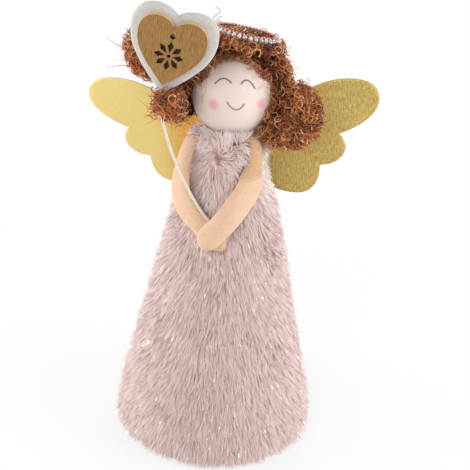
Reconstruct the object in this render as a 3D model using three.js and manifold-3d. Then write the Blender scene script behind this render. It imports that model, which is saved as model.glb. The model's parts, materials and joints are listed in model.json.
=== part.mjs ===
// Angel tree topper: a plush doll on a card cone that slips over the tip of a tree.
// The doll faces -Y and its own left hand is on +X. The origin is the middle of the hem, on the
// surface that the topper stands on. All sizes are in millimetres and +Z is up.
import * as THREE from 'three';
import { mergeVertices } from 'three/addons/utils/BufferGeometryUtils.js';
import Module from 'manifold-3d';

const wasm = await Module();
wasm.setup();

// Clearance between pieces that are glued or sewn to each other
const fit = 0.3;

// Card cone that slips over the tree tip
const coneBaseRadius = 46;
const coneHeight = 166;
const cardThickness = 1.3;

// Fur dress over the cone, with wadding that fills the bodice
const pileDepth = 11;
const hemRise = 8;
const hemFlat = 5;
const waddingDepth = 4.3;
const waddingLength = 71;
const facingWidth = 16;
const facingThickness = 1.2;
const facingLift = 0.6;
const collarRise = 9.4;
const collarWidth = 6.8;

// Head on its peg
const pegRadius = 3;
const pegLength = 50;
const neckLength = 27.4;
const headCoreRadius = 20;
const coverThickness = 0.7;
const gatherThickness = 1.6;
const tieRadius = 0.6;
const tieHeight = 3.4;

// Curly hair
const sideHairDepth = 10;
const backHairDepth = 8;
const crownDepth = 13;
const hairShift = 2.5;
const hairlineSetForward = 8.5;
const faceTilt = 15;
const napeDrop = 12.4;

// Bunches beside the head: how far they stand out from its middle, forward of it and over it
const leftBunchReach = 31.5;
const leftBunchForward = 4;
const leftBunchRise = -8;
const leftBunchWidth = 34;
const leftBunchDepth = 26;
const leftBunchHeight = 36;
const rightBunchReach = 38;
const rightBunchForward = 4;
const rightBunchRise = 22;
const rightBunchWidth = 38;
const rightBunchDepth = 26;
const rightBunchHeight = 34;
const curlReach = 29;
const curlForward = 10;
const curlRise = -3.7;
const curlWidth = 23;
const curlDepth = 22;
const curlHeight = 20;

// Beaded band on the crown
const bandRadius = 16.5;
const bandShift = 5;
const bandSetBack = 2.1;
const bandTilt = 3.9;
const beadRadius = 1.9;
const beadCount = 28;
const beadThreadRadius = 0.7;

// Stuffed felt arms
const armThickness = 6.4;
const upperArmWidth = 9.6;
const elbowWidth = 14;
const forearmWidth = 13.6;
const handWidth = 12.4;
const handRise = -36;
const palmFit = 0.5;

// Foil-covered wings and the felt patch that carries them
const wingThickness = 1.5;
const wingRootOffset = 5;
const wingSpan = 76.4;
const wingRise = 32.5;
const wingDrop = 30.8;
const wingRootRise = 9;
const wingRootDrop = 15;
const wingSeatDrop = 3;
const patchWidth = 24;
const patchHeight = 30;
const patchRise = 10;
const patchThickness = 1.3;
const patchCorner = 6;
const backSeat = 18;
const backSeatDrop = 33;
const backSlope = 23;

// Wand: a wire stem, a felt heart and a wooden heart with a cut star
const stemRadius = 0.8;
const stemPocket = 9;
const gripSide = 3;
const gripRise = 3.5;
const wandReach = 30.8;
const wandHeight = 68;
const heartForward = 0.4;
const heartTilt = 10.7;
const heartTurnAside = 5.2;
const heartLean = 9.4;
const feltHeartWidth = 41.5;
const feltHeartHeight = 43.5;
const feltHeartCleft = 4.4;
const feltThickness = 3.6;
const feltRounding = 1.1;
const woodHeartWidth = 33;
const woodHeartHeight = 33.4;
const woodHeartCleft = 5;
const woodThickness = 3;
const woodTipShare = 0.63;
const hangingHoleRadius = 1.3;
const hangingHoleDrop = 3.4;
const starHeightShare = 0.455;
const starRadius = 7.2;
const starInnerRadius = 1.8;
const starPetalWidth = 2.8;
const starCentreRadius = 0.9;
const starDepth = 1.5;
const starPetals = 8;

// Facets round a full turn, and along curves
const dressSides = 56;
const roundSides = 24;
const ballRings = 16;
const hairSides = 22;
const hairRings = 14;
const limbSides = 14;
const limbSteps = 20;
const beadSides = 6;
const ringsPerBead = 4;
const pocketSides = 12;
const stemSteps = 26;
const roundingSteps = 5;
const curveSteps = 8;

// Values that follow from the sizes above
const coneTopRadius = pegRadius + fit + cardThickness;
const hemRadius = coneBaseRadius + fit + pileDepth;
const shoulderRadius = coneTopRadius + fit + waddingDepth + fit + pileDepth;
const skinRadius = headCoreRadius + fit + coverThickness;
const headZ = coneHeight + neckLength;
const gatherRadius = pegRadius + fit + gatherThickness;
const neckOpening = gatherRadius + fit + 2 * tieRadius + fit;
const handZ = coneHeight + handRise;

const radians = THREE.MathUtils.degToRad;
const point = (x, y, z) => new THREE.Vector3(x, y, z);

// Outer radius of the card cone at a height
function coneRadius(z) {
  return THREE.MathUtils.mapLinear(z, 0, coneHeight, coneBaseRadius, coneTopRadius);
}

// Outer radius of the fur at a height
function furRadius(z) {
  return THREE.MathUtils.mapLinear(z, hemRise, coneHeight, hemRadius, shoulderRadius);
}

// Closed mesh to solid, and solid back to a geometry
function solid(geometry) {
  const bare = geometry.clone();
  bare.deleteAttribute('normal');
  bare.deleteAttribute('uv');
  const merged = mergeVertices(bare, 1e-4);
  const vertProperties = new Float32Array(merged.attributes.position.array);
  const triVerts = new Uint32Array(merged.index.array);
  return new wasm.Manifold(new wasm.Mesh({ numProp: 3, vertProperties, triVerts }));
}

function geometryOf(body) {
  const mesh = body.getMesh();
  const geometry = new THREE.BufferGeometry();
  geometry.setAttribute('position', new THREE.BufferAttribute(mesh.vertProperties, 3));
  geometry.setIndex(new THREE.BufferAttribute(mesh.triVerts, 1));
  geometry.computeVertexNormals();
  return geometry;
}

// Solid of revolution about Z from a profile of [radius, height] pairs
function revolve(profile, sides) {
  const outline = profile.map(([radius, z]) => new THREE.Vector2(radius, z));
  return new THREE.LatheGeometry(outline, sides).rotateX(Math.PI / 2);
}

// Upright cylinder between two heights
function cylinder(radius, low, high, sides) {
  const geometry = new THREE.CylinderGeometry(radius, radius, high - low, sides);
  return geometry.rotateX(Math.PI / 2).translate(0, 0, (low + high) / 2);
}

function ellipsoid(centre, radii, across, along) {
  const geometry = new THREE.SphereGeometry(1, across, along).rotateX(Math.PI / 2);
  return geometry.scale(radii.x, radii.y, radii.z).translate(centre.x, centre.y, centre.z);
}

// Box from its lowest and highest corners
function block(low, high) {
  const size = high.clone().sub(low);
  const middle = low.clone().add(high).multiplyScalar(0.5);
  return new THREE.BoxGeometry(size.x, size.y, size.z).translate(middle.x, middle.y, middle.z);
}

// Points on a quarter ellipse from one profile point to another, leaving the first along its height
function quarterRound([fromRadius, fromZ], [toRadius, toZ], steps) {
  const points = [];
  for (let i = 1; i <= steps; i++) {
    const turn = (i / steps) * (Math.PI / 2);
    const radius = toRadius + (fromRadius - toRadius) * Math.cos(turn);
    const z = fromZ + (toZ - fromZ) * Math.sin(turn);
    points.push([radius, z]);
  }
  return points;
}

// Skin over rings of points, closed by flat ends or, for a loop, back on itself
function skin(rings, loop) {
  const sides = rings[0].length;
  const vertices = rings.flat().flatMap((vertex) => vertex.toArray());
  const faces = [];
  const spans = loop ? rings.length : rings.length - 1;
  for (let i = 0; i < spans; i++) {
    const next = (i + 1) % rings.length;
    for (let j = 0; j < sides; j++) {
      const beside = (j + 1) % sides;
      const [a, b] = [i * sides + j, i * sides + beside];
      const [c, d] = [next * sides + beside, next * sides + j];
      faces.push(a, c, b, a, d, c);
    }
  }
  const last = (rings.length - 1) * sides;
  for (let j = 1; j < sides - 1 && !loop; j++) {
    faces.push(0, j, j + 1, last, last + j + 1, last + j);
  }
  const geometry = new THREE.BufferGeometry();
  geometry.setAttribute('position', new THREE.Float32BufferAttribute(vertices, 3));
  geometry.setIndex(faces);
  return geometry;
}

// Ring of points round a place, on two half axes
function ring(place, halfAcross, halfOutward, sides) {
  return Array.from({ length: sides }, (_, j) => {
    const turn = (j / sides) * 2 * Math.PI;
    const vertex = place.clone().addScaledVector(halfAcross, Math.cos(turn));
    return vertex.addScaledVector(halfOutward, Math.sin(turn));
  });
}

// Stuffed limb: flattened round sections lofted along a curve, with rounded ends
function limb(stations, grow) {
  const curve = new THREE.CatmullRomCurve3(stations.map((station) => station.place));
  const endShare = 0.08;
  const bluntness = 0.03;
  const sections = [];
  for (let i = 0; i <= limbSteps; i++) {
    const share = (1 - Math.cos((i / limbSteps) * Math.PI)) / 2;
    const place = curve.getPoint(share);
    const along = curve.getTangent(share);
    const outward = point(place.x, place.y, 0).normalize();
    outward.addScaledVector(along, -outward.dot(along)).normalize();
    const across = along.clone().cross(outward);
    const toEnd = Math.min(1, Math.min(share, 1 - share) / endShare);
    const taper = Math.sqrt(Math.max(bluntness, 1 - (1 - toEnd) ** 2));
    const station = share * (stations.length - 1);
    const before = Math.min(Math.floor(station), stations.length - 2);
    const width = THREE.MathUtils.lerp(
      stations[before].width, stations[before + 1].width, station - before);
    const end = i === 0 ? -grow : i === limbSteps ? grow : 0;
    place.addScaledVector(along, end);
    across.multiplyScalar(taper * width / 2 + grow);
    outward.multiplyScalar(taper * armThickness / 2 + grow);
    sections.push(ring(place, across, outward, limbSides));
  }
  return skin(sections, false);
}

// Round wire along a curve
function wire(curve, radius, steps) {
  const section = new THREE.Shape().absarc(0, 0, radius, 0, 2 * Math.PI);
  return new THREE.ExtrudeGeometry(section, { steps, extrudePath: curve, curveSegments: 4 });
}

function makeCone() {
  const inner = (z) => coneRadius(z) - cardThickness;
  const profile = [
    [inner(0), 0],
    [coneRadius(0), 0],
    [coneRadius(coneHeight), coneHeight],
    [inner(coneHeight), coneHeight],
    [inner(0), 0],
  ];
  return revolve(profile, dressSides);
}

// The wadding fills the wedge between the cone and the dress from the waist to the shoulders
const waddingLow = coneHeight - waddingLength;
const waddingRadius = (z) => furRadius(z) - pileDepth - fit;

function makeWadding() {
  const profile = [
    [coneRadius(waddingLow) + fit, waddingLow],
    [waddingRadius(waddingLow), waddingLow],
    [waddingRadius(coneHeight), coneHeight],
    [coneRadius(coneHeight) + fit, coneHeight],
    [coneRadius(waddingLow) + fit, waddingLow],
  ];
  return revolve(profile, dressSides);
}

function makeHemFacing() {
  const outer = (z) => coneRadius(z) - cardThickness - fit;
  const top = facingLift + facingWidth;
  const profile = [
    [outer(facingLift) - facingThickness, facingLift],
    [outer(facingLift), facingLift],
    [outer(top), top],
    [outer(top) - facingThickness, top],
    [outer(facingLift) - facingThickness, facingLift],
  ];
  return revolve(profile, dressSides);
}

// Height of the underside of the head at a radius
function chinHeight(radius) {
  return headZ - Math.sqrt(skinRadius ** 2 - radius ** 2);
}

// The back of the bodice is flat where the wing patch is sewn on, and slopes out to the skirt below it
function makeBackCut() {
  const seatLow = coneHeight - backSeatDrop;
  const slopeLow = seatLow - backSlope;
  const beyond = 2 * hemRadius;
  const shape = new THREE.Shape();
  shape.moveTo(backSeat, headZ);
  shape.lineTo(backSeat, seatLow);
  shape.lineTo(furRadius(slopeLow), slopeLow);
  shape.lineTo(beyond, slopeLow);
  shape.lineTo(beyond, headZ);
  const cut = new THREE.ExtrudeGeometry(shape, { depth: 2 * hemRadius, bevelEnabled: false });
  return cut.translate(0, 0, -hemRadius).rotateX(Math.PI / 2).rotateZ(Math.PI / 2);
}

function makeDress() {
  const collarRadius = neckOpening + collarWidth;
  const collarTop = Math.min(coneHeight + collarRise, chinHeight(collarRadius) - fit);
  const throat = chinHeight(neckOpening) - 2 * fit;
  const cavityTop = coneHeight + fit;
  const profile = [
    [coneRadius(0) + fit, 0],
    [coneRadius(0) + fit + hemFlat, 0],
  ];
  const hemStart = [hemRadius, hemRise];
  const hemEnd = [coneRadius(0) + fit + hemFlat, 0];
  profile.push(...quarterRound(hemStart, hemEnd, roundingSteps).reverse().slice(1));
  profile.push(hemStart);
  profile.push([shoulderRadius, coneHeight]);
  profile.push(...quarterRound([shoulderRadius, coneHeight], [collarRadius, collarTop], roundingSteps));
  profile.push([neckOpening, throat]);
  profile.push([neckOpening, cavityTop]);
  profile.push([waddingRadius(coneHeight) + fit, cavityTop]);
  profile.push([waddingRadius(waddingLow) + fit, waddingLow - fit]);
  profile.push([coneRadius(waddingLow) + fit, waddingLow - fit]);
  profile.push([coneRadius(0) + fit, 0]);
  let dress = solid(revolve(profile, dressSides));
  dress = dress.subtract(solid(limb(leftArm, fit)));
  dress = dress.subtract(solid(limb(rightArm, fit)));
  return geometryOf(dress.subtract(solid(makeBackCut())));
}

function makePeg() {
  const top = headZ + fit;
  return cylinder(pegRadius, top - pegLength, top, roundSides);
}

function makeHeadCore() {
  const ball = new THREE.SphereGeometry(headCoreRadius, roundSides, ballRings).rotateX(Math.PI / 2);
  const socket = cylinder(pegRadius + fit, coneHeight, headZ + 2 * fit, roundSides);
  return geometryOf(solid(ball.translate(0, 0, headZ)).subtract(solid(socket)));
}

// Jersey cover: a thin ball that runs down into the gathered neck round the peg
function makeHeadCover() {
  const arc = (radius, throatRadius) => {
    const points = [];
    const last = Math.PI - Math.asin(throatRadius / radius);
    for (let i = 0; i <= ballRings; i++) {
      const turn = last * (i / ballRings);
      points.push([radius * Math.sin(turn), headZ + radius * Math.cos(turn)]);
    }
    return points;
  };
  const neckEnd = coneHeight + fit;
  const outer = arc(skinRadius, gatherRadius);
  const inner = arc(skinRadius - coverThickness, pegRadius + fit);
  const neck = [[gatherRadius, neckEnd], [pegRadius + fit, neckEnd]];
  const profile = [...outer, ...neck, ...inner.reverse()];
  return revolve(profile.reverse(), roundSides);
}

function makeNeckTie() {
  const turns = new THREE.TorusGeometry(gatherRadius + fit + tieRadius, tieRadius, beadSides, roundSides);
  return turns.translate(0, 0, coneHeight + tieHeight);
}

// The hair is a thick cap that leaves the face free, with bunches at the sides
const headCentre = point(0, 0, headZ);
const hairCentre = point(hairShift, 0, headZ);
const hairRadii = point(sideHairDepth, backHairDepth, crownDepth).addScalar(skinRadius);

function hairBall(centre, radii, grow) {
  return solid(ellipsoid(centre, radii.clone().addScalar(grow), hairSides, hairRings));
}

function makeHairCap() {
  const reach = 3 * skinRadius;
  const scalp = new THREE.SphereGeometry(skinRadius + fit, roundSides, ballRings);
  const face = block(point(-reach, -2 * reach, -reach), point(reach, -hairlineSetForward, reach));
  face.rotateX(-radians(faceTilt));
  const nape = block(point(-reach, -reach, -reach), point(reach, reach, -napeDrop));
  let cap = hairBall(point(hairShift, 0, 0), hairRadii, 0).subtract(solid(scalp));
  cap = cap.subtract(solid(face)).subtract(solid(nape));
  return geometryOf(cap).translate(headCentre.x, headCentre.y, headCentre.z);
}

const bunches = {
  left: {
    centre: point(leftBunchReach, -leftBunchForward, headZ + leftBunchRise),
    radii: point(leftBunchWidth, leftBunchDepth, leftBunchHeight).divideScalar(2),
  },
  right: {
    centre: point(-rightBunchReach, -rightBunchForward, headZ + rightBunchRise),
    radii: point(rightBunchWidth, rightBunchDepth, rightBunchHeight).divideScalar(2),
  },
  curl: {
    centre: point(-curlReach, -curlForward, headZ + curlRise),
    radii: point(curlWidth, curlDepth, curlHeight).divideScalar(2),
  },
};

function makeHairBunch(bunch, neighbours) {
  let hair = hairBall(bunch.centre, bunch.radii, 0).subtract(hairBall(hairCentre, hairRadii, 2 * fit));
  for (const neighbour of neighbours) {
    hair = hair.subtract(hairBall(neighbour.centre, neighbour.radii, 2 * fit));
  }
  return geometryOf(hair);
}

// Height of the crown of the hair on the line that the band rests along, from ear to ear
function crownHeight(x) {
  const across = (x - hairShift) / hairRadii.x;
  const back = bandSetBack / hairRadii.y;
  return headZ + hairRadii.z * Math.sqrt(1 - across ** 2 - back ** 2);
}

// Beads threaded on a ring that rests on the crown, a little to one side and tipped back
function makeHeadband() {
  const lowSide = crownHeight(bandShift + bandRadius);
  const highSide = crownHeight(bandShift - bandRadius);
  const tilt = Math.atan2(highSide - lowSide, 2 * bandRadius);
  const sections = [];
  for (let i = 0; i < beadCount * ringsPerBead; i++) {
    const turn = (i / (beadCount * ringsPerBead)) * 2 * Math.PI;
    const outward = point(Math.cos(turn), Math.sin(turn), 0);
    const place = outward.clone().multiplyScalar(bandRadius);
    const swell = Math.abs(Math.sin((i / ringsPerBead) * Math.PI));
    const radius = THREE.MathUtils.lerp(beadThreadRadius, beadRadius, swell);
    sections.push(ring(place, outward.multiplyScalar(radius), point(0, 0, radius), beadSides));
  }
  const seat = (lowSide + highSide) / 2 + (beadRadius + 2 * fit) / Math.cos(tilt);
  const band = skin(sections, true).rotateX(-radians(bandTilt)).rotateY(tilt);
  return band.translate(bandShift, bandSetBack, seat);
}

// A place on the dress: degrees round from the front, height over the shoulder line, lift off the fur
function onDress(turn, rise, lift, width) {
  const z = coneHeight + rise;
  const radius = furRadius(z) + lift;
  const place = point(radius * Math.sin(radians(turn)), -radius * Math.cos(radians(turn)), z);
  return { place, width };
}

// The right hand lies on the dress, the stem on its palm, and the left hand over both
const stemDepth = furRadius(handZ) + armThickness / 2 + palmFit + stemRadius;
const overStemDepth = stemDepth + stemRadius + palmFit + armThickness / 2;

// A place in front of the stem, given as a place on the dress is
function overStem(turn, rise, width) {
  const place = point(overStemDepth * Math.tan(radians(turn)), -overStemDepth, coneHeight + rise);
  return { place, width };
}

const rightArm = [
  onDress(-66, 7.5, 0.9, upperArmWidth),
  onDress(-60.4, 0.5, 3.9, upperArmWidth),
  onDress(-57.3, -7.4, 5.4, upperArmWidth),
  onDress(-53.2, -14.6, 6, elbowWidth),
  onDress(-47.5, -22, 5.4, elbowWidth),
  onDress(-39.2, -27.5, 4.2, forearmWidth),
  onDress(-30.5, -31.7, 2.6, handWidth),
  onDress(-17.8, -37.3, 0.1, handWidth),
  onDress(2.4, -47.2, -2.4, handWidth),
];

const leftArm = [
  onDress(51.6, 8, -1, upperArmWidth),
  onDress(42.8, 3.5, 0.75, upperArmWidth),
  onDress(35.8, -3.8, 2, upperArmWidth),
  onDress(29.3, -10, 3.6, elbowWidth),
  onDress(19.5, -17, 5.3, elbowWidth),
  onDress(9.8, -21.9, 7.9, forearmWidth),
  overStem(1.75, -27.6, handWidth),
  overStem(-7, -34.6, handWidth),
  overStem(-16, -42.6, handWidth),
];

// Felt patch on the back of the bodice
const patchHigh = coneHeight + patchRise;
const patchLow = patchHigh - patchHeight;

function roundedRectangle(width, height, corner) {
  const x = width / 2;
  const y = height / 2;
  const shape = new THREE.Shape();
  shape.moveTo(x, y - corner);
  shape.absarc(x - corner, y - corner, corner, 0, Math.PI / 2);
  shape.absarc(corner - x, y - corner, corner, Math.PI / 2, Math.PI);
  shape.absarc(corner - x, corner - y, corner, Math.PI, 1.5 * Math.PI);
  shape.absarc(x - corner, corner - y, corner, 1.5 * Math.PI, 2 * Math.PI);
  return shape;
}

function makePatch() {
  const shape = roundedRectangle(patchWidth, patchHeight, patchCorner);
  const sheet = new THREE.ExtrudeGeometry(shape, {
    depth: patchThickness,
    bevelEnabled: false,
    curveSegments: roundingSteps,
  });
  sheet.rotateX(Math.PI / 2);
  return sheet.translate(0, backSeat + fit + patchThickness, (patchLow + patchHigh) / 2);
}

// Wing with three rounded lobes. The root edge stands on the local Z axis and the tip is to one side.
function makeWing(side) {
  const across = (share) => side * wingSpan * share;
  const up = (share) => wingRise * share;
  const down = (share) => -wingDrop * share;
  const shape = new THREE.Shape();
  shape.moveTo(0, wingRootRise);
  shape.bezierCurveTo(across(0.29), up(0.41), across(0.45), up(0.93), across(0.69), up(1));
  shape.bezierCurveTo(across(0.87), up(1.05), across(1), up(0.95), across(1), up(0.68));
  shape.bezierCurveTo(across(1), up(0.41), across(0.87), up(0.2), across(0.72), up(0.08));
  shape.bezierCurveTo(across(0.807), down(0.065), across(0.794), down(0.47), across(0.586), down(0.49));
  shape.bezierCurveTo(across(0.595), down(0.71), across(0.556), down(0.99), across(0.437), down(1));
  shape.bezierCurveTo(across(0.265), down(1.01), across(0.106), down(0.71), 0, -wingRootDrop);
  const sheet = new THREE.ExtrudeGeometry(shape, {
    depth: wingThickness,
    bevelEnabled: false,
    curveSegments: curveSteps,
  });
  return sheet.translate(0, 0, -wingThickness / 2).rotateX(Math.PI / 2);
}

// Heart with its tip on the origin, its lobes along +Y
function heartShape(width, height, cleft) {
  const half = width / 2;
  const shape = new THREE.Shape();
  shape.moveTo(0, 0);
  shape.bezierCurveTo(0.44 * half, 0.21 * height, half, 0.43 * height, half, 0.72 * height);
  shape.bezierCurveTo(half, 0.9 * height, 0.77 * half, height, 0.5 * half, height);
  shape.bezierCurveTo(0.25 * half, height, 0.06 * half, height - 0.4 * cleft, 0, height - cleft);
  shape.bezierCurveTo(-0.06 * half, height - 0.4 * cleft, -0.25 * half, height, -0.5 * half, height);
  shape.bezierCurveTo(-0.77 * half, height, -half, 0.9 * height, -half, 0.72 * height);
  shape.bezierCurveTo(-half, 0.43 * height, -0.44 * half, 0.21 * height, 0, 0);
  return shape;
}

function makeFeltHeart() {
  const plate = new THREE.ExtrudeGeometry(heartShape(feltHeartWidth, feltHeartHeight, feltHeartCleft), {
    depth: feltThickness - 2 * feltRounding,
    bevelThickness: feltRounding,
    bevelSize: feltRounding,
    bevelOffset: -feltRounding,
    bevelSegments: 2,
    curveSegments: curveSteps,
  });
  plate.translate(0, 0, feltRounding - feltThickness / 2);
  const pocketRadius = stemRadius + fit;
  const pocket = new THREE.CylinderGeometry(pocketRadius, pocketRadius, 2 * stemPocket, pocketSides);
  pocket.translate(0, fit, 0);
  return geometryOf(solid(plate).subtract(solid(pocket)));
}

// Wooden heart with a hanging hole under the cleft and an eight-petal star burnt into its face
const woodTip = (feltHeartHeight - woodHeartHeight) * woodTipShare;
const starHeight = woodHeartHeight * starHeightShare;
const holeHeight = woodHeartHeight - woodHeartCleft - hangingHoleDrop;

function makeWoodHeart() {
  const shape = heartShape(woodHeartWidth, woodHeartHeight, woodHeartCleft);
  shape.holes.push(new THREE.Path().absarc(0, holeHeight, hangingHoleRadius, 0, 2 * Math.PI, true));
  let heart = solid(new THREE.ExtrudeGeometry(shape, {
    depth: woodThickness,
    bevelEnabled: false,
    curveSegments: curveSteps,
  }));
  const cutLow = woodThickness - starDepth;
  const cutDepth = 2 * starDepth;
  const widestShare = 0.55;
  const middle = (starInnerRadius + starRadius) * widestShare;
  const petal = new THREE.Shape();
  petal.moveTo(0, starInnerRadius);
  petal.lineTo(starPetalWidth / 2, middle);
  petal.lineTo(0, starRadius);
  petal.lineTo(-starPetalWidth / 2, middle);
  for (let i = 0; i < starPetals; i++) {
    const cut = new THREE.ExtrudeGeometry(petal, { depth: cutDepth, bevelEnabled: false });
    cut.rotateZ((i / starPetals) * 2 * Math.PI).translate(0, starHeight, cutLow);
    heart = heart.subtract(solid(cut));
  }
  const dot = new THREE.Shape().absarc(0, 0, starCentreRadius, 0, 2 * Math.PI);
  const dotCut = new THREE.ExtrudeGeometry(dot, {
    depth: cutDepth,
    bevelEnabled: false,
    curveSegments: roundingSteps,
  });
  heart = heart.subtract(solid(dotCut.translate(0, starHeight, cutLow)));
  return geometryOf(heart);
}

// The stem runs from between the palms to the tip of the felt heart and ends in its pocket
const grip = point(-gripSide, -stemDepth, handZ + gripRise);
const heartTip = point(grip.x - wandReach, grip.y - heartForward, grip.z + wandHeight);
const heartTurn = new THREE.Euler(
  Math.PI / 2 + radians(heartLean), -radians(heartTurnAside), -radians(heartTilt));
const heartUp = point(0, 1, 0).applyEuler(heartTurn);

function makeStem() {
  const bowShare = 0.28;
  const straightShare = 0.3;
  const leaveGrip = grip.clone().add(point(-bowShare * wandReach, 0, 0));
  const reachHeart = heartTip.clone().addScaledVector(heartUp, -straightShare * wandHeight);
  const bend = new THREE.CubicBezierCurve3(grip, leaveGrip, reachHeart, heartTip);
  const end = new THREE.LineCurve3(heartTip, heartTip.clone().addScaledVector(heartUp, stemPocket));
  const path = new THREE.CurvePath();
  path.add(bend);
  path.add(end);
  return wire(path, stemRadius, stemSteps);
}

// Finishes
function finish(color, roughness, metalness) {
  return new THREE.MeshStandardMaterial({ color, roughness, metalness });
}

const card = finish('#b79b74', 0.9, 0);
const wadding = finish('#f1efe9', 1, 0);
const fur = finish('#d3bab6', 0.95, 0);
const lining = finish('#cdb2ad', 0.95, 0);
const dowel = finish('#cfae7d', 0.7, 0);
const foam = finish('#f4f2ee', 0.9, 0);
const jersey = finish('#f6e4d6', 0.9, 0);
const thread = finish('#efe6da', 0.8, 0);
const curls = finish('#86532f', 0.85, 0);
const beads = finish('#d9d3d0', 0.25, 0.2);
const peachFelt = finish('#e6c1a4', 0.9, 0);
const goldFoil = finish('#c7ab62', 0.4, 0.8);
const whiteFelt = finish('#e8e8ea', 0.95, 0);
const wood = finish('#a77e4d', 0.65, 0);
const wireCoat = finish('#e4ddd2', 0.5, 0);

const topper = new THREE.Group();

function addPiece(parent, name, geometry, material) {
  const mesh = new THREE.Mesh(geometry, material);
  mesh.name = name;
  parent.add(mesh);
  return mesh;
}

addPiece(topper, 'cone_core', makeCone(), card);
addPiece(topper, 'bodice_wadding', makeWadding(), wadding);
addPiece(topper, 'hem_facing', makeHemFacing(), lining);
addPiece(topper, 'fur_dress', makeDress(), fur);
addPiece(topper, 'neck_peg', makePeg(), dowel);
addPiece(topper, 'head_core', makeHeadCore(), foam);
addPiece(topper, 'head_cover', makeHeadCover(), jersey);
addPiece(topper, 'neck_tie', makeNeckTie(), thread);
addPiece(topper, 'hair_cap', makeHairCap(), curls);
addPiece(topper, 'hair_bunch_left', makeHairBunch(bunches.left, []), curls);
addPiece(topper, 'hair_bunch_right', makeHairBunch(bunches.right, []), curls);
addPiece(topper, 'hair_curl_right', makeHairBunch(bunches.curl, [bunches.right]), curls);
addPiece(topper, 'headband', makeHeadband(), beads);
addPiece(topper, 'left_arm', limb(leftArm, 0), peachFelt);
addPiece(topper, 'right_arm', limb(rightArm, 0), peachFelt);
addPiece(topper, 'wing_patch', makePatch(), whiteFelt);

// Each wing is sewn on at its root, swept back, leaning and tilted as it hangs at rest
const wingRests = [
  { name: 'left_wing', side: 1, sweep: 2.8, lean: 8, tilt: 3 },
  { name: 'right_wing', side: -1, sweep: 15.6, lean: -12.6, tilt: -5.9 },
];
const wingSeat = backSeat + fit + patchThickness + fit + wingThickness / 2;
for (const rest of wingRests) {
  const wing = addPiece(topper, rest.name, makeWing(rest.side), goldFoil);
  const lean = radians(rest.lean);
  const leanRoom = Math.max(wingRootDrop * Math.sin(lean), wingRootRise * Math.sin(-lean));
  wing.rotation.order = 'ZXY';
  wing.rotation.set(-lean, -rest.side * radians(rest.tilt), rest.side * radians(rest.sweep));
  wing.position.set(rest.side * wingRootOffset, wingSeat + leanRoom, coneHeight - wingSeatDrop);
}

const wand = new THREE.Group();
addPiece(wand, 'wand_stem', makeStem(), wireCoat);
const hearts = new THREE.Group();
hearts.position.copy(heartTip);
hearts.rotation.copy(heartTurn);
addPiece(hearts, 'felt_heart', makeFeltHeart(), whiteFelt);
const woodHeart = addPiece(hearts, 'wood_heart', makeWoodHeart(), wood);
woodHeart.position.set(0, woodTip, feltThickness / 2 + fit);
wand.add(hearts);
topper.add(wand);

export default topper;
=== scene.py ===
"""Looks of the angel tree topper: fur dress, boucle hair, stitched face, felt arms, foil wings and wand."""
import json
import math
from contextlib import contextmanager

import bmesh
import bpy
import numpy as np
from mathutils import Matrix, Vector
from mathutils.bvhtree import BVHTree
from mathutils.kdtree import KDTree


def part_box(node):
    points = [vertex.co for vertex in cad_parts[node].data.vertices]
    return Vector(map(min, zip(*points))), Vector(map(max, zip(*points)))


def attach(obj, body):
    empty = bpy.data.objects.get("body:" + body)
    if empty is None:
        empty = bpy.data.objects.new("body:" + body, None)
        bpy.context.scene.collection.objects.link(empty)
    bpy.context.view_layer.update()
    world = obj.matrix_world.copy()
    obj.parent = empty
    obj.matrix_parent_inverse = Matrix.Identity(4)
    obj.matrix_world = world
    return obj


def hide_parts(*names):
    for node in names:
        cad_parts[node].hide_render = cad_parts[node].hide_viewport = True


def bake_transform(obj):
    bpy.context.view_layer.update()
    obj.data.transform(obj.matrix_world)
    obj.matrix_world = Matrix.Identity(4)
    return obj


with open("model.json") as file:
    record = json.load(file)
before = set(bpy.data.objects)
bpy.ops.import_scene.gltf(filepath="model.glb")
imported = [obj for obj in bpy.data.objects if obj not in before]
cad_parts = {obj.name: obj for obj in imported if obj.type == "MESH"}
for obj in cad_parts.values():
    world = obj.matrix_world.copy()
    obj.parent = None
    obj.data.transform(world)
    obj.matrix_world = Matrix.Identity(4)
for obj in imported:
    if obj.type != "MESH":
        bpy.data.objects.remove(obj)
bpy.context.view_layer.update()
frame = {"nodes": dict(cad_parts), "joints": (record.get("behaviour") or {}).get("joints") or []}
SCENE = bpy.context.scene

# Everything below is worked out in millimetres and written to the meshes in metres
MM = 0.001
FULL_TURN = 2 * math.pi
UPRIGHT = np.array([0, 0, 1.0])
# Keeps only the level part of a place, and corners closer than the gap are joined
LEVEL = np.array([1, 1, 0])
JOIN_GAP = 0.001

# The photograph's view: picture side and focal length in its pixels, and where the camera stands
PHOTO_SIDE = 470
FOCAL_LENGTH = 945
LOOK_DOWN = math.radians(24)
ROLL = math.radians(4)
VIEW_DISTANCE = 520
VIEW_CENTRE = np.array([6.2, 0, 114.5])
SENSOR = 36

# Studio: each lamp's place, size and power, where they point, and the light from all round
LAMPS = {
    "key": ((-200, -700, 540), 560, 2.4),
    "left_fill": ((-640, -10, 300), 500, 2.5),
    "right_fill": ((640, -130, 310), 500, 2.95),
    "rim": ((60, 480, 620), 500, 1.55),
}
LAMP_AIM = (0, 0, 120)
AMBIENT_LIGHT = 0.42
FLOOR_REACH = 3000.0
FLOOR_FADE = (60, 300)
FLOOR_WHITE_NEAR = 0.72

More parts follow.
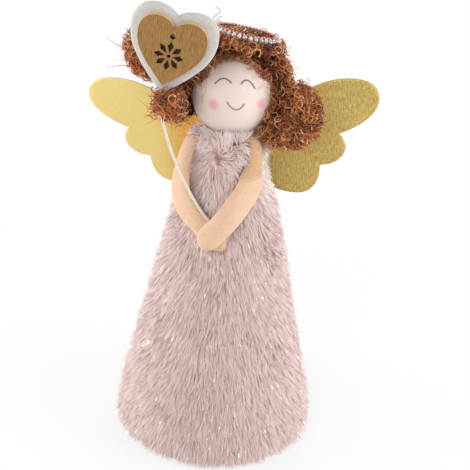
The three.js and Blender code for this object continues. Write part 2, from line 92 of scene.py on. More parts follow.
# Dress: its profile, and the flat at the back under the wings
HEM_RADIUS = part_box("fur_dress")[1].x / MM
HEM_FLAT_RADIUS = 51.3
HEM_TURN_UNDER = 4
HEM_RISE = 8
SHOULDER_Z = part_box("cone_core")[1].z / MM
SHOULDER_RADIUS = 20.5
COLLAR_RADIUS = 13.5
COLLAR_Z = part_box("fur_dress")[1].z / MM
NECK_RADIUS = 7
THROAT_Z = 172
BACK_SEAT_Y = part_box("wing_patch")[0].y / MM - 0.3
BACK_SLOPE_Z = 110
BACK_FLAT = (BACK_SLOPE_Z, 133)
BACK_FACING = np.array([0, 1.0, 0.25])
BACK_PILE = 0.8
TURNED_SIDES = 96

# Pile: how deep and long it is, how much less at the collar and the hem, and the ground under it
PILE_DEPTH = 6.5
PILE_LENGTH = 9.8
COLLAR_THINNER = 2
HEM_THINNER = 2.5
GROUND_OVER_ROOTS = 0.6
# Chest: its swell, the turn that this spreads over, and the whorl on it
CHEST_SWELL = 3
CHEST_SPREAD = 0.75
WHORL = np.array([-7, -18.6, 168.6])
WHORL_REACH = 19
# Over the first height the collar's pile lies upward, over the second it may lie on the right arm
COLLAR_PARTING_Z = 173
SHOULDER_FUR_Z = 166
# Heights between which the pile changes, from where a change begins to where it is full
COLLAR_FUR = (160, 172)
HEM_FUR = (10, 0)
CHEST_BEGIN = (136, 146)
CHEST_END = (182, 174)
PAINTED_LIGHT_CHEST = (128, 140)
LOOSE_CHEST = (126, 140)
ARM_PRESSED = (138, 152)
HEM_COMBED = (26, 8)
# How far aside the arms press the pile, and the turn from the front that the hem isn't combed over
ARM_SIDE = (0.7, 0.9)
HEM_SIDE = 0.5
# Fibres: how many, their half widths from root to tip, and the bands of the pile with each one's top
FIBRES = 138000
SHOULDER_FIBRES = 1500
FILM_FIBRES = 2400
TUFTS = 3200
TUFT_HOLD = 0.42
FIBRE_WIDTHS = (0.25, 0.24, 0.18, 0.05)
FILM_WIDTH = 0.1
FUR_BANDS = {"fur_hem": 14, "fur_skirt": 45, "fur_hip": 80, "fur_waist": 120, "fur_bodice": 200}
# How far fibres keep off the floor, the skin, the arms and the patch
FLOOR_GAP = 0.3
SKIN_GAP = 0.5
ARM_GAP = 0.35
PATCH_GAP = 0.4
# The part of a strand's map that is used, from dark to light and from root to tip
MAP_SPAN = (0.02, 0.98)

# Facing inside the hem: its thickness, the slope of the cone and how uneven it is
FACING_THICKNESS = 0.6
CONE_SLOPE = 0.249
FACING_WAVER = 0.00375

# Arms: where the left one folds at the elbow, and how far the upper arm is set back there
ELBOW_FOLD_Z = 157.3
ELBOW_FOLD_SLOPE = -0.1
ELBOW_SETBACK = 1.1

# Head
HEAD_RADIUS = 21
HEAD_CENTRE = np.array([0, 0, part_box("head_cover")[1].z / MM - HEAD_RADIUS])
NECK_END_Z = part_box("head_cover")[0].z / MM
GATHER_RADIUS = 4.9
NECK_FOLDS = 22

# Places on the face, in the photograph's pixels, and how far the pink of a cheek fades
LEFT_EYE = [(214.7, 84.2), (223.2, 78.6), (231.6, 83.5)]
RIGHT_EYE = [(241.0, 84.6), (247.7, 80.4), (255.1, 89.1)]
MOUTH = [(226.7, 101.4), (235.8, 109.8), (244.6, 103.5)]
CHEEKS = [(213.3, 104.6), (261.4, 103.9)]
CHEEK_FADE = (0.7, 4.4)
CHEEK_STRENGTH = 0.72
EYE_THREAD = 0.36
MOUTH_THREAD = 0.34
HAIRLINE = [
    (192, 104), (195, 90), (204, 75), (223, 59), (240.7, 60),
    (256, 68), (267, 79), (272, 90), (271, 101), (264, 118),
]
CHIN_LINE = [(258, 127), (245, 132), (228, 134), (210, 130), (197, 126), (190, 118)]
LOOSE_HAIRS = [
    ((250, 64), (248, 74)), ((258, 70), (252, 79)), ((264, 80), (257, 92)), ((268, 88), (256, 89)),
    ((262, 74), (258, 84)), ((203, 80), (203, 103)), ((206, 76), (201, 98)), ((246, 62), (250, 72)),
]

# Hair: each solid's loops by name, how many, the radius that they bend round and how deep the ground is
HAIR = {
    "hair_cap": ("cap_curls", 1700, 30, 3.2),
    "hair_bunch_left": ("left_bunch_curls", 620, 15, 3),
    "hair_bunch_right": ("right_bunch_curls", 760, 15, 3),
    "hair_curl_right": ("right_lock_curls", 260, 11, 2.6),
}
# Radii of the yarn, how many loops edge the face, and the frizz: its reach and half width
YARN_RADIUS = 0.29
EDGE_YARN_RADIUS = 0.26
BAND_YARN_RADIUS = 0.25
LOOSE_HAIR_RADIUS = 0.07
HAIRLINE_CURLS = 190
FRIZZ = (4.5, 0.12)
LONG_FRIZZ = (15, 0.2)
LONG_FRIZZ_COUNT = 36
LOCK_BEND = 7
# Locks over the stem and by the left shoulder: the photograph's pixel that each ends at, its loops and spread
STEM_LOCK = (166.5, 104)
STEM_LOOPS = 190
STEM_SPREAD = (2.2, 1.2, 2.4)
SHOULDER_LOCK = (268, 136)
SHOULDER_LOOPS = 150
SHOULDER_SPREAD = (2.6, 2, 2.8)

# How the bead band lies on the crown: lower on the left side, and tipped back
BAND_ROLL = math.radians(9)
BAND_TIP = math.radians(3.9)
# How far it presses the hair and lifts the beads, half the solid band's thickness, and the loops' bend
BAND_PRESS = 1.5
BAND_LIFT = 1.1
BAND_BEAD_RADIUS = 1.9
BAND_BEND = 34
# Strands of the band: how many beads, their radius and how far inside the band's ring they lie
PEARLS = (38, 1.3, -0.5)
SEED_BEADS = (52, 0.82, 1.2)
# Thread ends of the band: how far each leans and rises, and how often it curls
THREAD_ENDS = [(-1, 13, 1.5), (2, 8, 2), (-2, 6, 1.2)]
THREAD_CURL = 1.8
THREAD_END_RADIUS = 0.2

# Wings: the place that the foil is drawn out from, along the span and over the root, and the thickness
WING_MIDDLE = np.array([30, -3])
WING_THICKNESS = 1.5
# Rings of the foil from the outline in to that place: each one's share of the way out and of the thickness
WING_RINGS = np.concatenate([[1, 0.985], np.linspace(0.95, 0.03, 22)])
WING_EDGE_DEPTH = np.array([0.55, 0.9] + [1] * 22)
# How far creases reach from the root, and the heights of the stitches over it
WING_CREASES = 14
WING_STITCHES = np.linspace(-11, 6, 7)
# Patch: how many stitches it has, and how far they are from its edge
PATCH_STITCHES = 36
PATCH_SEAM = 1.6
# Each stitch: its two ends along its way, its height and the bow over that, its points and its radius
WING_STITCH = ((-1.4, 2.2), (0.35, 0.6), 9, 0.26)
PATCH_STITCH = ((-0.8, 0.8), (0.45, 0.3), 7, 0.2)


def box_mm(node):
    """Low and high corner of a solid's box, in millimetres."""
    return [np.array(corner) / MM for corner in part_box(node)]


# Meshes


def add_object(name, mesh, materials, body, node=None):
    """Adds a smooth mesh on a body and in place of a node where those are named."""
    piece = bpy.data.objects.new(name, mesh)
    SCENE.collection.objects.link(piece)
    for material in materials:
        mesh.materials.append(material)
    mesh.polygons.foreach_set("use_smooth", np.ones(len(mesh.polygons), bool))
    if body:
        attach(piece, body)
    if node:
        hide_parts(node)
    return piece


def quad_mesh(name, points, quads, uv=None, uv_name="OFBake"):
    """Mesh of four-sided faces from arrays of points in millimetres and of corners."""
    mesh = bpy.data.meshes.new(name)
    mesh.vertices.add(len(points))
    mesh.vertices.foreach_set("co", (points * MM).astype(np.float32).ravel())
    mesh.loops.add(quads.size)
    mesh.loops.foreach_set("vertex_index", quads.astype(np.int32).ravel())
    mesh.polygons.add(len(quads))
    mesh.polygons.foreach_set("loop_start", np.arange(0, quads.size, 4, dtype=np.int32))
    if uv is not None:
        layer = mesh.uv_layers.new(name=uv_name)
        layer.data.foreach_set("uv", uv[quads.ravel()].astype(np.float32).ravel())
    mesh.update(calc_edges=True)
    mesh.validate()
    return mesh


@contextmanager
def reshaping(mesh):
    """A mesh opened for changes to its faces, which are written back to it after."""
    shape = bmesh.new()
    shape.from_mesh(mesh)
    yield shape
    shape.to_mesh(mesh)
    shape.free()


def unit(vectors):
    return vectors / np.maximum(np.linalg.norm(vectors, axis=-1, keepdims=True), 1e-9)


def square_to(vectors, axes):
    """The way of each vector as far as it is square to its axis."""
    return unit(vectors - (vectors * axes).sum(-1, keepdims=True) * axes)


def ring_ways(turns):
    """Level ways at these turns about the upright axis."""
    return np.stack([np.cos(turns), np.sin(turns), np.zeros(len(turns))], -1)


def along_strand(ways, reach):
    """Offsets along each strand's way, by its reach at each of its points."""
    return ways[:, None] * reach[..., None]


def ramp(values, start, end):
    """0 before the start, 1 past the end, and an even change between them."""
    return np.clip((values - start) / (end - start), 0, 1)


def drift(points, spacing, seed):
    """Smooth random values of about -1 to 1 over space, that change over about that spacing."""
    rng = np.random.default_rng(seed)
    waves = rng.normal(size=(6, 3)) * (2.2 / spacing)
    phases = rng.uniform(0, FULL_TURN, 6)
    return np.sin(points @ waves.T + phases).mean(-1) * 1.7


def strand_uv(shades, count, across):
    """Map of strands: the shade along U, with a little width, and root to tip along V."""
    u = shades[:, None, None] * 0.95 + np.linspace(0.005, 0.035, across)
    v = np.linspace(*MAP_SPAN, count)[None, :, None]
    u, v = np.broadcast_arrays(u, v)
    return np.stack([u, v], -1).reshape(-1, 2)


def strip_quads(strands, count, across, closed):
    """Corners of the faces along each strand, between neighbouring points and the points across."""
    start = np.arange(strands)[:, None, None] * count * across
    along = np.arange(count - 1)[None, :, None] * across
    side = np.arange(across if closed else across - 1)[None, None, :]
    beside = (side + 1) % across
    a = start + along + side
    b = start + along + beside
    return np.stack([a, b, b + across, a + across], -1).reshape(-1, 4)


def add_ribbons(name, lines, width_ways, half_widths, shades, material, slot):
    """Flat tapering fibres of the doll along lines of points."""
    strands, count = lines.shape[:2]
    offset = along_strand(width_ways, np.broadcast_to(half_widths, (strands, count)))
    points = np.stack([lines - offset, lines + offset], 2).reshape(-1, 3)
    mesh = quad_mesh(name, points, strip_quads(strands, count, 2, False), strand_uv(shades, count, 2))
    return add_object(name, mesh, [material], "doll")


def add_tubes(name, lines, radii, sides, material, body="doll", shades=None, node=None):
    """Round yarn or thread along lines of points, thinned at the ends by its radii."""
    strands, count = lines.shape[:2]
    radii = np.broadcast_to(radii, (strands, count))
    if shades is None:
        shades = np.full(strands, 0.5)
    along = unit(np.gradient(lines, axis=1))
    normal = unit(np.cross(along[:, 0], [0.31, 0.83, 0.46]))
    turns = np.arange(sides)[:, None] * FULL_TURN / sides
    rings = []
    for j in range(count):
        normal = square_to(normal, along[:, j])
        binormal = np.cross(along[:, j], normal)
        spokes = normal[:, None] * np.cos(turns) + binormal[:, None] * np.sin(turns)
        rings.append(lines[:, j, None] + spokes * radii[:, j, None, None])
    points = np.stack(rings, 1).reshape(-1, 3)
    quads = strip_quads(strands, count, sides, True)
    mesh = quad_mesh(name, points, quads, strand_uv(shades, count, sides))
    return add_object(name, mesh, [material], body, node)


def turned(name, profile):
    """Surface turned about the upright axis from a profile of radius and height."""
    ways = ring_ways(np.arange(TURNED_SIDES) * FULL_TURN / TURNED_SIDES)
    points = ways * profile[:, None, :1] + UPRIGHT * profile[:, None, 1:]
    return quad_mesh(name, points.reshape(-1, 3), strip_quads(1, len(profile), TURNED_SIDES, True))


def cad_mesh(node):
    """Copy of a solid's mesh with its corners joined."""
    mesh = frame["nodes"][node].data.copy()
    mesh.materials.clear()
    with reshaping(mesh) as shape:
        bmesh.ops.remove_doubles(shape, verts=shape.verts, dist=JOIN_GAP * MM)
    return mesh


def modified(mesh, *steps):
    """The mesh after modifiers, each given as its kind and settings."""
    holder = bpy.data.objects.new("holder", mesh)
    SCENE.collection.objects.link(holder)
    for kind, settings in steps:
        modifier = holder.modifiers.new(kind, kind)
        for key, value in settings.items():
            setattr(modifier, key, value)
    evaluated = holder.evaluated_get(bpy.context.evaluated_depsgraph_get())
    made = bpy.data.meshes.new_from_object(evaluated)
    bpy.data.objects.remove(holder)
    return made


def mesh_points(mesh):
    points = np.zeros(len(mesh.vertices) * 3)
    mesh.vertices.foreach_get("co", points)
    return points.reshape(-1, 3) / MM


def set_points(mesh, points):
    mesh.vertices.foreach_set("co", (points * MM).astype(np.float32).ravel())
    mesh.update()


def softened(node, voxel, rounds):
    """A stuffed or felted form of a solid, with even faces and rounded edges."""
    remesh = ("REMESH", {"mode": "VOXEL", "voxel_size": voxel * MM})
    smooth = ("SMOOTH", {"factor": 0.5, "iterations": rounds})
    return modified(cad_mesh(node), remesh, smooth)


def swollen(mesh, amount):
    """Moves a mesh's surface out by so many millimetres, or in where that is negative."""
    ways = np.zeros(len(mesh.vertices) * 3)
    mesh.vertex_normals.foreach_get("vector", ways)
    set_points(mesh, mesh_points(mesh) + ways.reshape(-1, 3) * np.reshape(amount, (-1, 1)))
    return mesh


def roughened(points, amount, spacing, seed):
    """Points moved out from their middle and in again by a drifting amount."""
    return points + unit(points - points.mean(0)) * amount * drift(points, spacing, seed)[:, None]


def scattered(mesh, count, rng):
    """Points spread evenly over a mesh, with the way that its surface faces there."""
    mesh.calc_loop_triangles()
    corners = np.array([triangle.vertices for triangle in mesh.loop_triangles])
    a, b, c = (mesh_points(mesh)[corners[:, k]] for k in range(3))
    facing = np.cross(b - a, c - a)
    size = np.linalg.norm(facing, axis=1)
    chosen = rng.choice(len(size), count, p=size / size.sum())
    u, v = rng.random((2, count, 1))
    folded = u + v > 1
    u, v = np.where(folded, 1 - u, u), np.where(folded, 1 - v, v)
    places = a[chosen] + u * (b - a)[chosen] + v * (c - a)[chosen]
    return places, unit(facing[chosen])


# The camera's axes, and places under a pixel of the photograph

AHEAD = np.array([0, math.cos(LOOK_DOWN), -math.sin(LOOK_DOWN)])
LEVEL_UP = np.array([0, math.sin(LOOK_DOWN), math.cos(LOOK_DOWN)])
LEVEL_RIGHT = np.array([1.0, 0, 0])
RIGHT = LEVEL_RIGHT * math.cos(ROLL) + LEVEL_UP * math.sin(ROLL)
UP = LEVEL_UP * math.cos(ROLL) - LEVEL_RIGHT * math.sin(ROLL)
EYE = VIEW_CENTRE - AHEAD * VIEW_DISTANCE


def sight(pixel):
    """The way from the camera through a pixel of the photograph."""
    across = (pixel[0] - PHOTO_SIDE / 2) / FOCAL_LENGTH
    upward = (PHOTO_SIDE / 2 - pixel[1]) / FOCAL_LENGTH
    return unit(AHEAD + RIGHT * across + UP * upward)


def seen_at(pixel, y):
    """The place under a pixel of the photograph that lies so far back."""
    ray = sight(pixel)
    return EYE + ray * (y - EYE[1]) / ray[1]


def on_head(pixel):
    """The place on the head under a pixel of the photograph."""
    ray = sight(pixel)
    offset = EYE - HEAD_CENTRE
    middle = -(offset @ ray)
    depth = middle**2 - offset @ offset + HEAD_RADIUS**2
    return EYE + ray * (middle - math.sqrt(max(depth, 0)))


def add_camera():
    data = bpy.data.cameras.new("photo_camera")
    data.sensor_width = SENSOR
    data.lens = FOCAL_LENGTH / PHOTO_SIDE * SENSOR
    camera = bpy.data.objects.new("photo_camera", data)
    axes = np.eye(4)
    axes[:3] = np.stack([RIGHT, UP, -AHEAD, EYE * MM], -1)
    camera.matrix_world = Matrix(axes.tolist())
    SCENE.collection.objects.link(camera)
    SCENE.camera = camera


# Materials

# The shader's inputs by the words used for them below
SHADER_INPUTS = {
    "metal": "Metallic",
    "rough": "Roughness",
    "ior": "IOR",
    "sheen": "Sheen Weight",
    "sheen_rough": "Sheen Roughness",
    "coat": "Coat Weight",
    "coat_rough": "Coat Roughness",
    "brushed": "Anisotropic",
}


def to_linear(hex_colour):
    channels = [int(hex_colour[i : i + 2], 16) / 255 for i in (1, 3, 5)]
    return [c / 12.92 if c <= 0.04045 else ((c + 0.055) / 1.055) ** 2.4 for c in channels] + [1]


def per(size):
    """Scale of a pattern whose repeat is that many millimetres."""
    return 1 / (size * MM)


def add_node(tree, kind, inputs=None, stops=(), **settings):
    """Outputs of a new node: inputs are values or outputs, stops are a ramp's places and colours."""
    made = tree.nodes.new("ShaderNode" + kind)
    for key, value in settings.items():
        setattr(made, key, value)
    for place, (position, colour) in enumerate(stops):
        if place < 2:
            stop = made.color_ramp.elements[place]
            stop.position = position
        else:
            stop = made.color_ramp.elements.new(position)
        stop.color = to_linear(colour)
    for key, value in (inputs or {}).items():
        if isinstance(value, bpy.types.NodeSocket):
            tree.links.new(value, made.inputs[key])
        else:
            made.inputs[key].default_value = value
    return made.outputs


def colour_ramp(tree, value, stops):
    return add_node(tree, "ValToRGB", {"Fac": value}, stops)[0]


def mixed_colour(tree, share, under, over, **settings):
    inputs = {0: share, 6: under, 7: over}
    return add_node(tree, "Mix", inputs, data_type="RGBA", **settings)[2]


def grain_noise(tree, place, size, detail, roughness=0.5):
    """Noise with a grain of so many millimetres."""
    inputs = {"Vector": place, "Scale": per(size), "Detail": detail, "Roughness": roughness}
    return add_node(tree, "TexNoise", inputs)[0]


def faded(tree, distance, reach, first, last):
    """A value that runs softly from first to last between two distances in millimetres."""
    inputs = {"Value": distance, "From Min": reach[0] * MM, "From Max": reach[1] * MM}
    inputs |= {"To Min": first, "To Max": last}
    return add_node(tree, "MapRange", inputs, interpolation_type="SMOOTHSTEP")[0]


def relief(tree, height, strength, depth):
    """Bumps of so many millimetres."""
    inputs = {"Height": height, "Strength": strength, "Distance": depth * MM}
    return add_node(tree, "Bump", inputs)[0]


def new_material(name):
    material = bpy.data.materials.new(name)
    material.use_nodes = True
    material.node_tree.nodes.clear()
    return material, material.node_tree


def finish_with(tree, inputs, look):
    """Ends a material in one shader with these inputs and this look."""
    inputs = inputs | {SHADER_INPUTS[word]: value for word, value in look.items()}
    shader = add_node(tree, "BsdfPrincipled", inputs)
    add_node(tree, "OutputMaterial", {"Surface": shader[0]})


def strand_finish(name, shades, painted_root_shade, **look):
    """Fibres coloured by their own shade, and darker towards the root: painted shade of the depths among
    them.
    """
    material, tree = new_material(name)
    place = add_node(tree, "UVMap", uv_map="OFBake")
    parts = add_node(tree, "SeparateXYZ", {"Vector": place[0]})
    colour = colour_ramp(tree, parts["X"], shades)
    depth = colour_ramp(tree, parts["Y"], [(0, painted_root_shade), (0.75, "#ffffff")])
    finish_with(tree, {"Base Color": mixed_colour(tree, 1, colour, depth, blend_type="MULTIPLY")}, look)
    return material


def grained_finish(name, colours, grain, bump, stretch=(1, 1, 1), spread=0.2, **look):
    """Colours in a grain of so many millimetres, stretched along an axis, raised by bump."""
    material, tree = new_material(name)
    place = add_node(tree, "TexCoord")["Object"]
    inputs = {"Vector": place, "Scale": [1 / s for s in stretch]}
    drawn = add_node(tree, "Mapping", inputs)[0]
    noise = grain_noise(tree, drawn, grain, 4, 0.6)
    places = np.linspace(0.5 - spread, 0.5 + spread, len(colours))
    colour = colour_ramp(tree, noise, zip(places, colours))
    finish_with(tree, {"Base Color": colour, "Normal": relief(tree, noise, 0.6, bump)}, look)
    return material


# Long-pile acrylic fur: pale dusty pink tips over a mauve depth painted darker as shade, soft and without
# gloss
fur_pile = strand_finish(
    "acrylic_fur_pile", [(0, "#cba5a1"), (0.35, "#e7cbc6"), (0.7, "#f7e1dc"), (1, "#fff5f1")], "#e8c6c0",
    rough=0.75, sheen=1, sheen_rough=0.35, ior=1.49,
)
# Metallised film fibres in the pile: thin bright flecks, the darkest shades a painted reflection of flecks
# turned away from the light
tinsel = strand_finish(
    "metallised_film_fibre", [(0, "#4a372f"), (0.08, "#7d6254"), (0.14, "#e3c49a"), (1, "#ffffff")],
    "#e8dcd2", metal=0.9, rough=0.22,
)
# Warp-knitted polyester ground of the fur: fine loops in a mauve pink
knit_ground = grained_finish("knitted_fur_ground", ["#c79f9d", "#dfbfbb"], 0.9, 0.15, rough=0.9, sheen=0.2)
# Boucle wool-blend yarn: chestnut loops, rust where the light catches them, painted darker towards the root
# as shade in the depths
boucle_yarn = strand_finish(
    "boucle_yarn", [(0, "#4f1f0d"), (0.35, "#b5622f"), (0.65, "#e39350"), (1, "#ffd09a")], "#a07458",
    rough=0.6, ior=1.54,
)
# Matted yarn under the loops: nearly black brown, darker than the yarn itself as painted shade deep in the
# hair
painted_shade_yarn = grained_finish("matted_yarn_painted_shade", ["#2c140c", "#5a2f1c"], 1.6, 0.6, rough=0.9)
# Needle-punched peach felt of the arms: matt, with a faint mottle of fibres
peach_felt = grained_finish(
    "peach_felt", ["#dab292", "#e8c4a8"], 1.1, 0.08, spread=0.25, rough=0.9, sheen=0.5, sheen_rough=0.35
)
# A deeper tan copy of the felt for the upper left arm: painted shade, for the shade that falls on it there
painted_shade_felt = grained_finish(
    "painted_shade_felt", ["#c79d76", "#d8b28d"], 1.1, 0.08, spread=0.25, rough=0.9, sheen=0.4, sheen_rough=0.35
)
# White felt: bright and matt, with grey fibres
white_felt = grained_finish(
    "white_felt", ["#d9dade", "#eeeeef"], 0.9, 0.1, spread=0.25, rough=0.92, sheen=0.25, sheen_rough=0.5
)
# The heart's white felt is thick and frosted, greyer than the patch
heart_felt = grained_finish(
    "frosted_white_felt", ["#bcb9b5", "#d4d1ce"], 0.9, 0.1,
    spread=0.25, rough=0.92, sheen=0.4, sheen_rough=0.4,
)
# Stained birch ply: a golden tan face with fine dark pores along the grain
stained_birch = grained_finish(
    "stained_birch_ply", ["#704918", "#976d33", "#b08546"], 0.9, 0.1, stretch=(0.4, 1, 3.6), rough=0.55
)
# Cut edge of the ply: pale veneers between toasted ones
ply_edge = grained_finish("birch_ply_edge", ["#c59a66", "#e7c99d"], 0.8, 0.05, stretch=(3, 0.5, 3), rough=0.6)
# Wood burnt by the cutter: charred dark brown
burnt_birch = grained_finish("burnt_birch", ["#21120a", "#4e3219"], 0.8, 0.1, rough=0.85)
# Paper-covered florist's wire: off-white, with the wrap's fine ridges
paper_wire = grained_finish(
    "paper_covered_wire", ["#cfc5b9", "#e6ded4"], 0.9, 0.08, stretch=(3, 3, 0.6), rough=0.7
)
# Grey-brown card of the cone: dull, with a faint grain up the cone
grey_card = grained_finish("grey_card", ["#a88c66", "#c0a47e"], 1.4, 0.06, stretch=(1, 1, 2), rough=0.9)
# Polyester wadding: white loose fibre
wadding = grained_finish("polyester_wadding", ["#dedbd4", "#f4f2ed"], 2.5, 1, spread=0.3, rough=1)
# Birch dowel of the peg: pale wood with straight grain
raw_dowel = grained_finish("raw_dowel", ["#c29c66", "#d9ba88"], 0.7, 0.05, stretch=(0.4, 0.4, 5), rough=0.7)
# Moulded bead foam of the head: white cells about two millimetres across
bead_foam = grained_finish("moulded_bead_foam", ["#e4e2dd", "#f7f5f2"], 2, 0.2, rough=0.9)
# Spun threads of the eyes, the mouth, the seams and neck, and the band: matt, with a fine twist
dark_thread = grained_finish("dark_cotton_thread", ["#63564f", "#85766f"], 0.5, 0.05, rough=0.7)
rose_thread = grained_finish("rose_cotton_thread", ["#9c645a", "#bd8579"], 0.5, 0.05, rough=0.7)
white_thread = grained_finish("white_cotton_thread", ["#d6cdc1", "#f2ece3"], 0.5, 0.05, rough=0.7)
band_thread = grained_finish("grey_bead_thread", ["#9b908a", "#c9c1bc"], 0.5, 0.05, rough=0.5)
# Pearl-coated plastic beads, lilac to smoky silver under a clear skin, and copper-lustre seed beads
pearl = grained_finish(
    "pearl_coated_bead", ["#9d929a", "#dcd5d3"], 3, 0,
    spread=0.15, metal=0.35, rough=0.2, coat=0.9, coat_rough=0.05,
)
copper_lustre = grained_finish("copper_lustre_bead", ["#a5644f", "#d39a83"], 1, 0, metal=0.6, rough=0.25)
# Felt core of the wings, seen only as a thin greyish edge
felt_edge = grained_finish("grey_felt_edge", ["#b3a676", "#cbbf8f"], 0.6, 0.05, rough=0.9)


def face_jersey():
    """Pale stretch jersey, matt and nearly smooth, with two soft pink cheeks rubbed on."""
    material, tree = new_material("face_jersey")
    place = add_node(tree, "TexCoord")["Object"]
    knit = grain_noise(tree, place, 0.6, 2)
    colour = colour_ramp(tree, knit, [(0.2, "#e2d0c5"), (0.8, "#ecdcd2")])
    for cheek in CHEEKS:
        inputs = {0: place, 1: (on_head(cheek) * MM).tolist()}
        away = add_node(tree, "VectorMath", inputs, operation="DISTANCE")["Value"]
        blush = faded(tree, away, CHEEK_FADE, CHEEK_STRENGTH, 0)
        colour = mixed_colour(tree, blush, colour, to_linear("#e58fab"))
    look = {"rough": 0.8, "sheen": 0.2}
    finish_with(tree, {"Base Color": colour, "Normal": relief(tree, knit, 0.3, 0.05)}, look)
    return material


def gold_foil(name, dark, middle, light, worn, reflection_reach):
    """Brushed gold foil on felt: a satin metal with fine upright grain and specks where it is rubbed."""
    material, tree = new_material(name)
    place = add_node(tree, "UVMap", uv_map="foil")[0]
    drawn = add_node(tree, "Mapping", {"Vector": place, "Scale": (1, 0.2, 1)})[0]
    grain = grain_noise(tree, drawn, 0.65, 5, 0.75)
    colour = colour_ramp(tree, grain, [(0.3, dark), (0.7, light), (0.5, middle)])
    inputs = {"Value": grain_noise(tree, place, 0.8, 6), "From Min": 0.52, "From Max": 0.68, "To Max": worn}
    wear = add_node(tree, "MapRange", inputs)[0]
    colour = mixed_colour(tree, wear, colour, to_linear("#7c6431"))
    # Near the root, where the foil is creased, it is painted a warmer gold in streaks: painted reflection of
    # the creases
    along = add_node(tree, "SeparateXYZ", {"Vector": place})["X"]
    near = faded(tree, along, (reflection_reach / 2, reflection_reach), 0.8, 0)
    painted_root_reflection = colour_ramp(tree, grain, [(0.35, "#c27d12"), (0.65, "#e4b240")])
    colour = mixed_colour(tree, near, colour, painted_root_reflection)
    look = {"metal": 0.45, "rough": 0.5, "brushed": 0.4}
    finish_with(tree, {"Base Color": colour, "Normal": relief(tree, grain, 0.5, 0.12)}, look)
    return material


# Dress


def fur_profile():
    """Outer profile of the fur from the turned-under hem to the throat, as radius and height."""
    turn = np.linspace(0, math.pi / 2, 9)
    across, upward = np.sin(turn), np.cos(turn)
    hem = np.stack([across, 1 - upward], -1) * [HEM_RADIUS - HEM_FLAT_RADIUS, HEM_RISE] + [HEM_FLAT_RADIUS, 0]
    shoulder = np.stack([upward, across], -1) * [SHOULDER_RADIUS - COLLAR_RADIUS, COLLAR_Z - SHOULDER_Z]
    shoulder += [COLLAR_RADIUS, SHOULDER_Z]
    return np.concatenate([[[HEM_FLAT_RADIUS - HEM_TURN_UNDER, 0]], hem, shoulder, [[NECK_RADIUS, THROAT_Z]]])


def back_limit(z):
    """How far back the bodice reaches at a height, where it is pressed flat under the wings."""
    full = np.interp(BACK_SLOPE_Z, [HEM_RISE, SHOULDER_Z], [HEM_RADIUS, SHOULDER_RADIUS])
    return np.interp(z, BACK_FLAT, [full, BACK_SEAT_Y])


def pile_depth(z):
    """How deep the pile is at a height."""
    return PILE_DEPTH - COLLAR_THINNER * ramp(z, *COLLAR_FUR) - HEM_THINNER * ramp(z, *HEM_FUR)


def pile_roots(count, rng):
    """Roots of fibres on the dress: the outer place, the way it faces, the way down it and how flat it is."""
    profile = fur_profile()
    step = np.diff(profile, axis=0)
    long = np.linalg.norm(step, axis=1)
    area = long * (profile[:-1, 0] + profile[1:, 0])
    chosen = rng.choice(len(area), count, p=area / area.sum())
    first, last = profile[chosen, 0], profile[chosen + 1, 0]
    share = rng.random(count)
    radius = np.sqrt((1 - share) * first**2 + share * last**2)
    span = last - first
    even = rng.random(count)
    share = np.where(np.abs(span) > 0.01, (radius - first) / np.where(span == 0, 1, span), even)
    spot = profile[chosen] + step[chosen] * share[:, None]
    way = step[chosen] / long[chosen, None]
    outward = ring_ways(rng.uniform(0, FULL_TURN, count))
    place = outward * spot[:, :1] + UPRIGHT * spot[:, 1:]
    facing = outward * way[:, 1:] - UPRIGHT * way[:, :1]
    down = -(outward * way[:, :1] + UPRIGHT * way[:, 1:])
    limit = back_limit(place[:, 2])
    pressed = (place[:, 1] > limit) & (place[:, 2] > BACK_SLOPE_Z)
    flat = ramp(place[:, 2], *BACK_FLAT) * pressed
    place[pressed, 1] = limit[pressed]
    facing = unit(facing * (1 - flat[:, None]) + BACK_FACING * flat[:, None])
    down = unit(down * (1 - flat[:, None]) - UPRIGHT * flat[:, None])
    return place, facing, down, flat


def front_turn(place):
    """Turn of places about the upright axis, from straight ahead."""
    return np.arctan2(place[:, 1], place[:, 0]) + math.pi / 2


def chest_swell(place):
    """How much the pile swells out between the arms, from the clasped hands up to the chin."""
    above = ramp(place[:, 2], *CHEST_BEGIN) * ramp(place[:, 2], *CHEST_END)
    return above * np.exp(-((front_turn(place) / CHEST_SPREAD) ** 2))


def near_whorl(place, spread):
    """1 at the whorl on the chest, falling off over a spread in square millimetres."""
    return np.exp(-(((place - WHORL) ** 2).sum(1)) / spread)


def pile_flow(place, facing, down):
    """The way the pile lies: down the dress, round a whorl on the chest, and up to the chin at the collar."""
    away = place - WHORL
    near = np.clip(1.2 * (1 - np.linalg.norm(away, axis=1) / WHORL_REACH), 0, 0.8)[:, None]
    away = square_to(away, facing)
    ruffled = np.stack([drift(place, 4.5, seed) for seed in (15, 16, 17)], -1)
    away = unit(away + 0.9 * np.cross(facing, away) + 1.2 * ruffled)
    raised = place[:, 2:] > COLLAR_PARTING_Z
    return unit(np.where(raised, -down, down) * (1 - near) + away * near)


